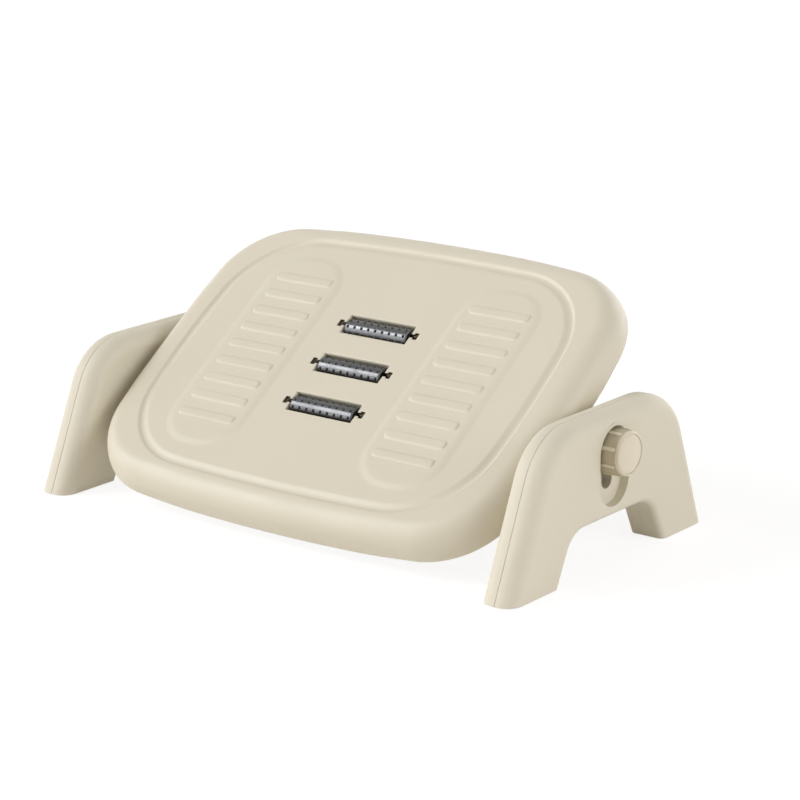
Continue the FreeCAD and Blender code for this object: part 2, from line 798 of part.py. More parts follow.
def cushion(name, inset):
    """The platform's rounded form, or at the wall's inset the hollow inside it."""
    bottom, top = UNDERSIDE + inset, PANEL - inset
    outline = plate_sketch(name + "_outline", tied(inset), bottom)
    block = raised(name + "_block", outline, top - bottom)
    groups = ((at_height(top), size.crown_radius - inset), (at_height(bottom), size.turn_radius - inset))
    return rounded_edges(name, block, groups)


def platform_boxes(name, spans):
    """Boxes centred on X, placed from the platform's middle: x, y, z start and span."""
    return [
        centred_box("%s_%d" % (name, number), (x, y + size.plate_shift, z), span)
        for number, (x, y, z, span) in enumerate(spans, start=1)
    ]


ROLLER_HEIGHT = PANEL - size.roller_depth
PANEL_BACK = PANEL - size.plate_wall
ROLLER_ROWS = {"front": -1, "middle": 0, "rear": 1}
NECK_START = size.window_length / 2
HEAD_START = NECK_START + size.neck_reach
HEAD_END = HEAD_START + size.head_reach


def row_middle(row):
    """Y of a roller, seen from the tilt axis."""
    return size.plate_shift + ROLLER_ROWS[row] * size.window_pitch


def axle_openings(name, row, bottom, top):
    """The axle's slots and collar pockets at both ends of a window."""
    y = row_middle(row)
    pieces = []
    for side in (-1, 1):
        for kind, start, length, width in (
            ("neck", NECK_START - size.past, size.neck_reach + size.past * 2, size.neck_width),
            ("head", HEAD_START, size.head_reach, size.head_width),
        ):
            x = outward(side, start, length)
            label = "%s_%s_%s" % (name, kind, "right" if side > 0 else "left")
            pieces.append(box(label, (x, y - width / 2, bottom), (length, width, top - bottom)))
    return pieces


SCREW_PLACES = tuple(
    (across * reach, along * spread)
    for across in (-1, 1)
    for along in (-1, 1)
    for reach, spread in (
        (size.plate_half_width - size.side_screw_inset, size.side_screw_spread),
        (size.end_screw_reach, size.plate_half_depth - size.end_screw_inset),
    )
)
BOSS_FOOT = UNDERSIDE + size.plate_wall
CRADLE_END = HEAD_END + size.cradle_wall
CRADLE_SCREW_REACH = CRADLE_END + size.cradle_tab / 2
CRADLE_TAB_TOP = PANEL_BACK - size.cradle_boss
EAR_START = STAND_FACE - size.friction_washer - size.ear_length
BOLT_HEAD_SEAT = EAR_START + size.bolt_head + size.seat_fit


def foot_zone(side):
    """A softly raised oblong field under one foot."""
    name = "right_zone" if side > 0 else "left_zone"
    run = size.zone_slope / size.zone_rise
    sketches = []
    for label, rise in (("base", -size.zone_root), ("top", size.zone_rise)):
        shift = run * rise - size.zone_slope / 2
        half_width = size.zone_half_width - shift
        half_length = size.zone_half_length - shift
        corner = size.zone_corner - shift
        sketch = DOC.addObject("Sketcher::SketchObject", "%s_%s" % (name, label))
        rounded_oblong(sketch, half_width, half_length, corner)
        sketches.append(put(sketch, side * size.zone_centre, size.plate_shift, PANEL + rise))
    return lofted(name, *sketches)


def raised_bars(side):
    """Nine rounded bars across a foot zone."""
    name = "right_bar" if side > 0 else "left_bar"
    bottom = PANEL + size.zone_rise - size.zone_root
    span = (size.bar_length, size.bar_width, size.zone_root + size.bar_rise)
    bars = []
    for number in range(BAR_COUNT):
        y = size.plate_shift + size.bar_shift + (number - (BAR_COUNT - 1) / 2) * size.bar_pitch
        label = "%s_%d" % (name, number + 1)
        block = centred_box(label + "_block", (side * size.zone_centre, y, bottom), span)
        rounded = rounded_edges(label + "_corners", block, ((is_upright, size.bar_corner),))
        top_edges = ((at_height(bottom + span[2]), size.bar_edge),)
        bars.append(rounded_edges(label, rounded, top_edges, kind="Chamfer"))
    return bars


def platform_top_shell():
    """The moulded platform: crowned rim, grooved panel, foot zones, windows and pivot ears."""
    form = cushion("plate_form", tied(0))
    hollow = cushion("plate_hollow", size.plate_wall)
    rib_base = PANEL_BACK - size.plate_rib_depth
    cross_span = (size.plate_half_width * 2, size.plate_rib, size.plate_rib_depth)
    long_span = (size.plate_rib, size.plate_half_depth * 2, size.plate_rib_depth)
    across = [
        (tied(0), number * size.window_pitch / 2, rib_base, cross_span)
        for number in (-5, -3, -1, 1, 3, 5)
    ]
    along = [
        (number * size.rib_spacing, tied(0), rib_base, long_span)
        for number in (-3, -2, -1, 1, 2, 3)
    ]
    kept = platform_boxes("cross_rib", across) + platform_boxes("long_rib", along)
    for number, (x, y) in enumerate(SCREW_PLACES, start=1):
        start = (x, y + size.plate_shift, BOSS_FOOT)
        kept.append(peg("cover_boss_%d" % number, start, PANEL_BACK - BOSS_FOOT, size.boss_radius))
    for row in ROLLER_ROWS:
        for side in (-1, 1):
            name = "%s_cradle_boss_%s" % (row, "right" if side > 0 else "left")
            start = (side * CRADLE_SCREW_REACH, row_middle(row), CRADLE_TAB_TOP)
            kept.append(peg(name, start, size.cradle_boss, size.boss_radius))
    for side in (-1, 1):
        name = "ear_web_right" if side > 0 else "ear_web_left"
        span = (size.ear_web, size.ear_radius * 2, PANEL_BACK - UNDERSIDE)
        start = (outward(side, EAR_START, size.ear_web), -size.ear_radius, UNDERSIDE)
        kept.append(box(name, start, span))
    hollow = cut("plate_room", hollow, fuse("plate_inner_walls", kept))
    shell = cut("plate_shell", form, hollow)

    added = [shell]
    for side in (-1, 1):
        start = (outward(side, EAR_START, size.ear_length), tied(0), tied(0))
        name = "right_ear" if side > 0 else "left_ear"
        added.append(rod(name, start, size.ear_length, size.ear_radius))
        added.append(foot_zone(side))
        added.extend(raised_bars(side))
    shell = fuse("plate_with_zones", added)

    removed = [groove()]
    opening = plate_sketch("cover_opening_outline", size.lip_width, UNDERSIDE - size.past)
    removed.append(raised("cover_opening", opening, size.plate_wall + size.past))
    for row in ROLLER_ROWS:
        bottom, top = PANEL_BACK - size.past, PANEL + size.past
        middle = (tied(0), row_middle(row), bottom)
        span = (size.window_length, size.window_width, top - bottom)
        removed.append(centred_box(row + "_window", middle, span))
        removed.extend(axle_openings(row + "_window", row, bottom, top))
        for side in (-1, 1):
            name = "%s_cradle_pilot_%s" % (row, "right" if side > 0 else "left")
            start = (side * CRADLE_SCREW_REACH, row_middle(row), CRADLE_TAB_TOP)
            radius = size.screw_radius + size.running_fit
            removed.append(peg(name, start, size.cradle_boss, radius))
    for number, (x, y) in enumerate(SCREW_PLACES, start=1):
        start = (x, y + size.plate_shift, BOSS_FOOT)
        depth = size.screw_length - size.plate_wall + size.past
        radius = size.screw_radius + size.running_fit
        removed.append(peg("cover_pilot_%d" % number, start, depth, radius))
    for side in (-1, 1):
        name = "right" if side > 0 else "left"
        before, length = EAR_START - size.past, size.ear_length + size.past * 2
        start = (outward(side, before, length), tied(0), tied(0))
        bore = rod(name + "_ear_bore", start, length, size.bolt_radius + size.running_fit)
        pocket_depth = BOLT_HEAD_SEAT - before
        start = (outward(side, before, pocket_depth), tied(0), tied(0))
        flats = size.bolt_flats + size.seat_fit * 2
        removed.extend((bore, hexagon(name + "_ear_hexagon", start, pocket_depth, flats)))
    return on_platform(cut("platform_top_shell", shell, fuse("plate_cuts", removed)))


def groove():
    """The shallow channel around the panel, its sides sloped."""
    walls = []
    for name, edge, slope in (
        ("outer", tied(0), size.groove_outer_slope),
        ("inner", size.groove_width, -size.groove_inner_slope),
    ):
        run_on = slope / size.groove_depth * size.groove_clear
        above = panel_sketch("groove_%s_top" % name, edge - run_on, PANEL + size.groove_clear)
        below = panel_sketch("groove_%s_floor" % name, edge + slope, PANEL - size.groove_depth)
        walls.append(lofted("groove_%s" % name, below, above))
    return cut("groove", walls[0], walls[1])


def platform_bottom_cover():
    """The flat cover under the platform, set flush in the rim's lip."""
    outline = plate_sketch("cover_outline", size.lip_width + size.seat_fit, UNDERSIDE)
    plate = raised("cover_plate", outline, size.plate_wall)
    holes = []
    for number, (x, y) in enumerate(SCREW_PLACES, start=1):
        start = (x, y + size.plate_shift, UNDERSIDE - size.past)
        radius = size.screw_radius + size.screw_room
        length = size.plate_wall + size.past * 2
        holes.append(peg("cover_hole_%d" % number, start, length, radius))
    return on_platform(cut("platform_bottom_cover", plate, fuse("cover_holes", holes)))


def screw(name, x, y, seat):
    """A screw driven upwards, its flat head under the seat."""
    shank = peg(name + "_shank", (x, y, seat), size.screw_length, size.screw_radius)
    head = peg(name + "_head", (x, y, seat - size.screw_head), size.screw_head, size.screw_head_radius)
    return fuse(name, (shank, head))


def compound(name, pieces):
    thing = DOC.addObject("Part::Compound", name)
    thing.Links = pieces
    return thing


def cover_screws():
    screws = [
        screw("cover_screw_%d" % number, x, y + size.plate_shift, UNDERSIDE)
        for number, (x, y) in enumerate(SCREW_PLACES, start=1)
    ]
    return on_platform(compound("bottom_cover_screws", screws))


def roller_cradle(row):
    """The open tray under a window that carries the roller's axle."""
    name = row + "_roller_cradle"
    y = row_middle(row)
    swing = size.roller_radius + size.stud_rise + size.cradle_floor_room
    floor = ROLLER_HEIGHT - swing
    inner_width = size.window_width + size.cradle_room * 2
    inner_length = size.window_length + size.cradle_room * 2
    bottom = floor - size.cradle_wall
    outer_span = (CRADLE_END * 2, inner_width + size.cradle_wall * 2, PANEL_BACK - bottom)
    tray = centred_box(name + "_block", (tied(0), y, bottom), outer_span)
    tab_span = ((CRADLE_END + size.cradle_tab) * 2, size.cradle_tab_width, size.cradle_wall)
    tabs = centred_box(name + "_tabs", (tied(0), y, CRADLE_TAB_TOP - size.cradle_wall), tab_span)
    room_span = (inner_length, inner_width, swing + size.roller_depth)
    removed = [centred_box(name + "_room", (tied(0), y, floor), room_span)]
    top = PANEL_BACK + size.past
    removed.extend(axle_openings(name, row, ROLLER_HEIGHT, top))
    for side in (-1, 1):
        label = "%s_%s" % (name, "right" if side > 0 else "left")
        length = size.neck_reach + size.past * 2
        start = (outward(side, NECK_START - size.past, length), y, ROLLER_HEIGHT)
        bearing = rod(label + "_bearing", start, length, size.neck_width / 2)
        start = (outward(side, HEAD_START, size.head_reach), y, ROLLER_HEIGHT)
        cup = rod(label + "_cup", start, size.head_reach, size.head_width / 2)
        start = (side * CRADLE_SCREW_REACH, y, CRADLE_TAB_TOP - size.cradle_wall - size.past)
        length = size.cradle_wall + size.past * 2
        hole = peg(label + "_hole", start, length, size.screw_radius + size.screw_room)
        removed.extend((bearing, cup, hole))
    solid = fuse(name + "_solid", (tray, tabs))
    return on_platform(cut(name, solid, fuse(name + "_cuts", removed)))


def cradle_screws():
    screws = []
    for row in ROLLER_ROWS:
        for side in (-1, 1):
            name = "%s_cradle_screw_%s" % (row, "right" if side > 0 else "left")
            seat = CRADLE_TAB_TOP - size.cradle_wall
            screws.append(screw(name, side * CRADLE_SCREW_REACH, row_middle(row), seat))
    return on_platform(compound("roller_cradle_screws", screws))


def on_roller_axis(thing, row, turn=0):
    """Lift a piece drawn around the X axis to a roller's axis, tilted and turned."""
    tilt = FreeCAD.Rotation(vector(1, 0, 0), float(size.tilt))
    spot = tilt.multVec(vector(0, row_middle(row), ROLLER_HEIGHT))
    turned = FreeCAD.Rotation(vector(1, 0, 0), float(size.tilt + turn))
    thing.Placement = FreeCAD.Placement(spot + vector(0, 0, size.axis_height), turned)
    return thing


def studded_roller(row):
    """A massage roller: a bored barrel with rows of six-sided studs all round."""
    roller = new_body(row + "_roller")
    half = size.roller_length / 2
    bore = size.axle_radius + size.running_fit / 2
    shoulder = size.roller_radius - size.roller_bevel
    section = new_sketch(roller, row + "_roller_section", "XY_Plane")
    corners = (
        (-half, bore),
        (half, bore),
        (half, shoulder),
        (half - size.roller_bevel, size.roller_radius),
        (size.roller_bevel - half, size.roller_radius),
        (-half, shoulder),
    )
    polygon(section, corners)
    turned_around(roller, row + "_roller_barrel", section, "H_Axis")
    stud = roller.newObject("PartDesign::AdditivePrism", row + "_roller_stud")
    stud.Polygon = 6
    root = size.stud_rise
    bind(stud, "Circumradius", size.stud_radius)
    bind(stud, "Height", size.stud_rise + root)
    first = -(size.stud_pitch * (STUDS_ALONG - 1) / 2)
    put(stud, first, 0, size.roller_radius - root)
    DOC.recompute()
    studs = roller.newObject("PartDesign::MultiTransform", row + "_roller_studs")
    studs.Originals = [stud]
    along = DOC.addObject("PartDesign::LinearPattern", row + "_roller_row")
    along.Direction = (origin_part(roller, "X_Axis"), [""])
    bind(along, "Length", size.stud_pitch * (STUDS_ALONG - 1))
    along.Occurrences = STUDS_ALONG
    around = DOC.addObject("PartDesign::PolarPattern", row + "_roller_rows")
    around.Axis = (origin_part(roller, "X_Axis"), [""])
    around.Angle = 360
    around.Occurrences = STUD_ROWS
    roller.addObject(along)
    roller.addObject(around)
    studs.Transformations = [along, around]
    roller.Tip = studs
    return on_roller_axis(roller, row, getattr(size, row + "_turn"))


def roller_axle(row):
    """The steel axle with a collar at each end."""
    axle = new_body(row + "_roller_axle")
    section = new_sketch(axle, row + "_axle_section", "XY_Plane")
    collar_end = HEAD_START + size.head_room + size.collar_length
    collar_start = HEAD_START + size.head_room
    corners = (
        (-collar_end, tied(0)),
        (collar_end, tied(0)),
        (collar_end, size.collar_radius),
        (collar_start, size.collar_radius),
        (collar_start, size.axle_radius),
        (-collar_start, size.axle_radius),
        (-collar_start, size.collar_radius),
        (-collar_end, size.collar_radius),
    )
    polygon(section, corners)
    turned_around(axle, row + "_axle_turned", section, "H_Axis")
    return on_roller_axis(axle, row)


# Pivots: bolt, washers, slide bush and knob on the tilt axis, the same on both sides

RECESS_FLOOR = OUTER_FACE - size.recess_depth
KNOB_BASE = RECESS_FLOOR + size.clamp_washer
NUT_START = KNOB_BASE + size.nut_sink
BOLT_END = KNOB_BASE + size.knob_height - size.knob_face - size.bolt_end_room


def side_name(side):
    return "right" if side > 0 else "left"


def pivot_bolt(side):
    """A hexagon bolt from inside the ear out into the knob's nut."""
    name = side_name(side) + "_pivot_bolt"
    head_start = (outward(side, BOLT_HEAD_SEAT - size.bolt_head, size.bolt_head), tied(0), tied(0))
    head = hexagon(name + "_head", head_start, size.bolt_head, size.bolt_flats)
    length = BOLT_END - BOLT_HEAD_SEAT
    shank_start = (outward(side, BOLT_HEAD_SEAT, length), tied(0), tied(0))
    shank = rod(name + "_shank", shank_start, length, size.bolt_radius)
    return on_platform(fuse(name, (head, shank)))


def ring(name, side, start, length, radius, bore):
    """A plain ring on the tilt axis."""
    place = (outward(side, start, length), tied(0), size.axis_height)
    outer = rod(name + "_outside", place, length, radius)
    through = length + size.past * 2
    clear = (outward(side, start - size.past, through), tied(0), size.axis_height)
    return cut(name, outer, rod(name + "_bore", clear, through, bore))


def friction_washer(side):
    name = side_name(side) + "_friction_washer"
    start = STAND_FACE - size.friction_washer
    bore = size.bolt_radius + size.running_fit
    return ring(name, side, start, size.friction_washer, size.friction_washer_radius, bore)


def slide_bush(side):
    """The bush that carries the bolt up and down the slot."""
    name = side_name(side) + "_slide_bush"
    start = STAND_FACE + size.bush_end_room
    length = RECESS_FLOOR - STAND_FACE - size.bush_end_room * 2
    bore = size.bolt_radius + size.running_fit
    return ring(name, side, start, length, size.slot_radius - size.slide_fit, bore)


def clamp_washer(side):
    name = side_name(side) + "_clamp_washer"
    bore = size.bolt_radius + size.clamp_washer_room
    return ring(name, side, RECESS_FLOOR, size.clamp_washer, size.clamp_washer_radius, bore)


def knob_nut(side):
    name = side_name(side) + "_knob_nut"
    place = (outward(side, NUT_START, size.nut_thickness), tied(0), size.axis_height)
    blank = hexagon(name + "_blank", place, size.nut_thickness, size.bolt_flats)
    through = size.nut_thickness + size.past * 2
    clear = (outward(side, NUT_START - size.past, through), tied(0), size.axis_height)
    bore = size.bolt_radius + size.running_fit
    return cut(name, blank, rod(name + "_bore", clear, through, bore))


def on_knob_axis(thing, side, start):
    """Lay a piece drawn around Z on the tilt axis, pointing outwards on its side."""
    outwards = FreeCAD.Rotation(vector(0, 1, 0), 90 * side)
    return put(thing, side * start, 0, size.axis_height, rotation=outwards)


def knob(side):
    """The clamping knob: a hollow skirt with grip ridges, a nut hub and a seat for the cap."""
    name = side_name(side) + "_knob"
    body = new_body(name)
    face, back = size.knob_height, size.knob_height - size.knob_face
    seat = size.knob_height - size.cap_seat
    inner = size.knob_radius - size.knob_wall
    bore = size.bolt_radius + size.clamp_washer_room
    corners = (
        (size.knob_hub_radius, tied(0)),
        (bore, tied(0)),
        (bore, back),
        (tied(0), back),
        (tied(0), seat),
        (size.cap_radius + size.seat_fit, seat),
        (size.cap_radius + size.seat_fit, face),
        (size.knob_radius, face),
        (size.knob_radius, tied(0)),
        (inner, tied(0)),
        (inner, back),
        (size.knob_hub_radius, back),
    )
    section = new_sketch(body, name + "_section", "XZ_Plane")
    polygon(section, corners)
    turned = turned_around(body, name + "_turned", section, "V_Axis")
    dress(
        body, "Fillet", turned,
        lambda edge: at_height(face)(edge) and near(edge.BoundBox.YLength, size.knob_radius * 2),
        size.knob_edge,
    )
    DOC.recompute()
    nut = body.newObject("PartDesign::SubtractivePrism", name + "_nut_pocket")
    nut.Polygon = 6
    bind(nut, "Circumradius", (size.bolt_flats + size.seat_fit * 2) / math.sqrt(3.0))
    bind(nut, "Height", size.past + size.nut_sink + size.nut_thickness + size.seat_fit)
    put(nut, 0, 0, -size.past)
    DOC.recompute()
    lean = math.radians(float(size.ridge_turn))
    ridge_x, ridge_y = size.ridge_centre * math.cos(lean), size.ridge_centre * math.sin(lean)
    ridge = body.newObject("PartDesign::AdditiveCylinder", name + "_ridge")
    bind(ridge, "Radius", size.ridge_radius)
    bind(ridge, "Height", size.ridge_length)
    put(ridge, ridge_x, ridge_y, 0)
    DOC.recompute()
    tip = body.newObject("PartDesign::AdditiveSphere", name + "_ridge_tip")
    bind(tip, "Radius", size.ridge_radius)
    put(tip, ridge_x, ridge_y, size.ridge_length)
    DOC.recompute()
    ridges = body.newObject("PartDesign::PolarPattern", name + "_ridges")
    ridges.Originals = [ridge, tip]
    ridges.Axis = (origin_part(body, "Z_Axis"), [""])
    ridges.Angle = 360
    bind(ridges, "Occurrences", size.knob_ridges)
    body.Tip = ridges
    return on_knob_axis(body, side, KNOB_BASE)


def knob_cap(side):
    """The domed disc in the middle of the knob's face."""
    name = side_name(side) + "_knob_cap"
    body = new_body(name)
    section = new_sketch(body, name + "_section", "XZ_Plane")
    radius, edge, rise = size.cap_radius, size.cap_edge, size.cap_dome
    dome_radius = (radius * radius + rise * rise) / (rise * 2)
    middle = edge + rise - dome_radius
    tilt = math.acos(float(radius) / float(dome_radius))
    dome = Part.Circle(vector(0, middle, 0), vector(0, 0, 1), float(dome_radius))
    lines = (
        Part.LineSegment(vector(0, 0, 0), vector(radius, 0, 0)),
        Part.LineSegment(vector(radius, 0, 0), vector(radius, edge, 0)),
        Part.ArcOfCircle(dome, tilt, math.pi / 2),
        Part.LineSegment(vector(0, edge + rise, 0), vector(0, 0, 0)),
    )
    for line in lines:
        section.addGeometry(line)
    for joint in ((0, 2, 1, 1), (1, 2, 2, 1), (2, 2, 3, 1), (3, 2, 0, 1)):
        section.addConstraint(Sketcher.Constraint("Coincident", *joint))
    for number, point, x, y in (
        (0, 1, 0, 0),
        (1, 1, radius, 0),
        (1, 2, radius, edge),
        (3, 1, 0, edge + rise),
    ):
        fix(section, "DistanceX", number, point, x)
        fix(section, "DistanceY", number, point, y)
    section.addConstraint(Sketcher.Constraint("PointOnObject", 2, 3, -2))
    turned_around(body, name + "_turned", section, "V_Axis")
    return on_knob_axis(body, side, KNOB_BASE + size.knob_height - size.cap_seat)


# The pieces, each under the name of its file

PIECES = []

for outer_shell in (True, False):
    right_shell = right_stand_shell(outer_shell)
    PIECES.append(right_shell)
    PIECES.append(mirrored(right_shell, right_shell.Name.replace("right", "left")))

for hand in (1, -1):
    for end, turn in (("front", -1), ("rear", 1)):
        PIECES.append(foot_pad("%s_%s_foot_pad" % (side_name(hand), end), hand, turn))
    PIECES.append(slide_bush(hand))
    PIECES.append(pivot_bolt(hand))
    PIECES.append(friction_washer(hand))
    PIECES.append(clamp_washer(hand))
    PIECES.append(knob(hand))
    PIECES.append(knob_nut(hand))
    PIECES.append(knob_cap(hand))

PIECES.append(platform_top_shell())
PIECES.append(platform_bottom_cover())
PIECES.append(cover_screws())
PIECES.append(cradle_screws())
for roller_row in ROLLER_ROWS:
    PIECES.append(roller_cradle(roller_row))
    PIECES.append(studded_roller(roller_row))
    PIECES.append(roller_axle(roller_row))

DOC.recompute()

# Every object is sound before anything is written

for thing in DOC.Objects:
    if "Invalid" in thing.State or "Error" in thing.State:
        raise RuntimeError("%s did not build" % thing.Name)

os.makedirs("parts", exist_ok=True)
for piece in PIECES:
    shape = piece.Shape
    if shape.isNull() or not shape.isValid() or not shape.Solids:
        raise RuntimeError("%s has no sound solid" % piece.Label)
    shape.exportStep("parts/%s.step" % piece.Label)
    print("%-28s %2d solid(s) %9.0f mm3" % (piece.Label, len(shape.Solids), shape.Volume))
print("%d pieces" % len(PIECES))
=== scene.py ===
"""Looks of a tilting foot rest with massage rollers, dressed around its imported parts.

Lengths are millimetres and angles are degrees in the tables and shapes of the pieces. They
become metres in on_platform() or just before make_mesh(). Materials, floor and camera are in
metres. Platform pieces are described lying flat, with the tilt axis along X through the origin
and the panel's plane facing up.
"""

import json
import math

import bmesh
import bpy
import numpy as np
from mathutils import Matrix, Vector


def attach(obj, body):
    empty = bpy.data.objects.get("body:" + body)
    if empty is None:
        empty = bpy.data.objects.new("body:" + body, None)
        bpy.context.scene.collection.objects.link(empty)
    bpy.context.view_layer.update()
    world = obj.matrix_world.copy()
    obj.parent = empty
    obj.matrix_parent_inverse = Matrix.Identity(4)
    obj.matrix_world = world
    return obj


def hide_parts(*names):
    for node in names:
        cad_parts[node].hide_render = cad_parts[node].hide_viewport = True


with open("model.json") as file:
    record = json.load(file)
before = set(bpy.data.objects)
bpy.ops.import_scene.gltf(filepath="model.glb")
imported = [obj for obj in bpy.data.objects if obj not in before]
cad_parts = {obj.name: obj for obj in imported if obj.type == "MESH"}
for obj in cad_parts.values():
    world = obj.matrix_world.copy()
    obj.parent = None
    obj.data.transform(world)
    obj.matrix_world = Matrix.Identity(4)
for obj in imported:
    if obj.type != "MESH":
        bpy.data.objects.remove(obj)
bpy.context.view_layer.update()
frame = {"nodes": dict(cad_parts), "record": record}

MM = 0.001
TILT = math.radians(35.14)
AXIS_HEIGHT = 101.0
PLATE_SHIFT = 3.7
PANEL = 38.3
UNDERSIDE = 1.3

# Points of the platform that lie nearer than this are welded, in metres
WELD = 0.00002


# Mesh helpers


def on_platform(points):
    """Flat platform coordinates in mm, tilted about the X axis and lifted, in metres."""
    points = np.asarray(points, float)
    x, y, z = points[..., 0], points[..., 1], points[..., 2]
    turned_y = y * math.cos(TILT) - z * math.sin(TILT)
    turned_z = y * math.sin(TILT) + z * math.cos(TILT) + AXIS_HEIGHT
    return np.stack([x, turned_y, turned_z], axis=-1) * MM


def smooth(value):
    """0 to 1 with flat ends: 3v^2 - 2v^3, held outside that range."""
    value = np.clip(value, 0.0, 1.0)
    return value * value * (3.0 - 2.0 * value)


def make_mesh(name, points, faces):
    """A smooth-shaded object from points in metres and lists of corners."""
    mesh = bpy.data.meshes.new(name)
    mesh.from_pydata([tuple(point) for point in np.asarray(points).tolist()], [], faces)
    mesh.update()
    mesh.shade_smooth()
    piece = bpy.data.objects.new(name, mesh)
    bpy.context.collection.objects.link(piece)
    return piece


def grid_faces(rows, columns, start=0, around=False, kept=None):
    """Quads over a grid of points stored row by row; around closes the columns."""
    faces = []
    last = columns if around else columns - 1
    for row in range(rows - 1):
        for column in range(last):
            if kept is not None and not kept[row, column]:
                continue
            beside = (column + 1) % columns
            low = start + row * columns
            high = low + columns
            faces.append((low + column, low + beside, high + beside, high + column))
    return faces


def angles(sides):
    """Even angles round an axis, one for each side of a turned piece."""
    return np.linspace(0.0, 2.0 * math.pi, sides, endpoint=False)


def lathe(profile, angle):
    """Turn (along, radius) pairs round the X axis; a radius may be an array, one for each angle."""
    along = np.array([pair[0] for pair in profile])[:, None]
    reach = np.array([np.broadcast_to(pair[1], len(angle)) for pair in profile])
    along = np.broadcast_to(along, reach.shape)
    points = np.stack([along, reach * np.cos(angle), reach * np.sin(angle)], -1)
    return points, grid_faces(len(profile), len(angle), around=True)


class Outline:
    """A rounded oblong of tangent arcs: bowed ends and sides joined by corner arcs."""

    def __init__(self, half_width, half_depth, end_bow, side_bow, corner):
        self.end_bow, self.side_bow, self.corner = end_bow, side_bow, corner
        self.end_y = half_depth - end_bow
        self.side_x = half_width - side_bow
        apart = math.hypot(self.side_x, self.end_y)
        to_end, to_side = end_bow - corner, side_bow - corner
        along = (to_end**2 - to_side**2 + apart**2) / (2.0 * apart)
        off = math.sqrt(to_end**2 - along**2)
        ahead_x, ahead_y = self.side_x / apart, -self.end_y / apart
        self.corner_x = ahead_x * along + ahead_y * off
        self.corner_y = self.end_y + ahead_y * along - ahead_x * off
        self.low = math.atan2(self.corner_y, self.corner_x - self.side_x)
        self.high = math.atan2(self.corner_y - self.end_y, self.corner_x)

    def point(self, place, inset):
        """A point of the first quadrant.

        Its place is 0 to 1 along the side, 1 to 2 round the corner and 2 to 3 on to the end's middle.
        """
        on_side, on_end = place < 1.0, place > 2.0
        turn = self.low + (place - 1.0) * (self.high - self.low)
        turn = np.where(on_side, place * self.low, turn)
        turn = np.where(on_end, self.high + (place - 2.0) * (math.pi / 2 - self.high), turn)
        middle_x = np.where(on_side, self.side_x, np.where(on_end, 0.0, self.corner_x))
        middle_y = np.where(on_side, 0.0, np.where(on_end, self.end_y, self.corner_y))
        radius = np.where(on_side, self.side_bow, np.where(on_end, self.end_bow, self.corner))
        return middle_x + (radius - inset) * np.cos(turn), middle_y + (radius - inset) * np.sin(turn)

    def inset_of(self, x, y):
        """How far inside the outline a point of any quadrant lies."""
        x, y = np.abs(x), np.abs(y)
        side = self.side_bow - np.hypot(x - self.side_x, y)
        end = self.end_bow - np.hypot(x, y - self.end_y)
        corner = self.corner - np.hypot(x - self.corner_x, y - self.corner_y)
        by_side = np.arctan2(y, x - self.side_x) < self.low
        by_end = np.arctan2(y - self.end_y, x) > self.high
        return np.where(by_side, side, np.where(by_end, end, corner))


def inside_oblong(x, y, half_width, half_length, corner):
    """Signed distance inside a rectangle with rounded corners, around the origin."""
    across = np.abs(x) - (half_width - corner)
    along = np.abs(y) - (half_length - corner)
    outside = np.hypot(np.maximum(across, 0.0), np.maximum(along, 0.0))
    return corner - outside - np.minimum(np.maximum(across, along), 0.0)


# The moulded top of the platform

PLATE = Outline(228.9, 168.4, 2170.0, 3460.0, 78.9)
LIP_LINE = Outline(200.5, 139.3, 3073.0, 2973.0, 54.0)
GROOVE = Outline(200.2, 146.3, 2515.0, 812.0, 88.0)
CROWN_REACH, CROWN_FALL = 20.0, 17.5
TURN_REACH, WALL = 3.3, 3.0
CORNER_FALL, CORNER_TURN, CORNER_SPREAD = 10.5, 6.9, 0.9
LIP_STEPS = ((-0.3, 0.0), (0.0, 0.3), (0.0, WALL), (-6.0, WALL))
GROOVE_WIDTH, GROOVE_DEPTH, GROOVE_MARGIN = 12.0, 1.8, 0.6
GROOVE_OUTER, GROOVE_INNER = 4.0, 7.0
PANEL_RINGS, GROOVE_RINGS, CROWN_RINGS, TURN_RINGS = 26, 24, 22, 16
ZONE_CENTRE, ZONE_HALF_WIDTH, ZONE_HALF_LENGTH = 112.0, 41.0, 115.0
ZONE_CORNER, ZONE_SLOPE, ZONE_RISE = 36.0, 9.0, 1.3
BARS, BAR_PITCH, BAR_SHIFT, BAR_RISE, BAR_EDGE = 9, 21.55, 2.4, 1.2, 1.1
BAR_HALF_LENGTH, BAR_HALF_WIDTH, BAR_CORNER = 32.5, 4.8, 4.0
ROWS = {"front": -48.0, "middle": 0.0, "rear": 48.0}
WINDOW = (37.0, 11.0)
NECK = (40.6, 2.05)
HEAD = (45.2, 3.8)
BEVEL, BEVEL_DROP = 0.5, 0.4
CORE = (150.0, 108.0)
FINE_X, FINE_Y, COARSE = 0.5, 0.4, 2.0
BAR_END_BAND, BAR_EDGE_BAND, ZONE_BAND = 1.8, 1.5, 4.5

# The four neighbours of a cell in a grid padded by one, where the cell itself is at (1, 1),
# and the two corners of the edge it shares with each
CELL_EDGES = (
    ((0, 1), (0, 0), (0, 1)),
    ((2, 1), (1, 1), (1, 0)),
    ((1, 0), (1, 0), (0, 0)),
    ((1, 2), (0, 1), (1, 1)),
)


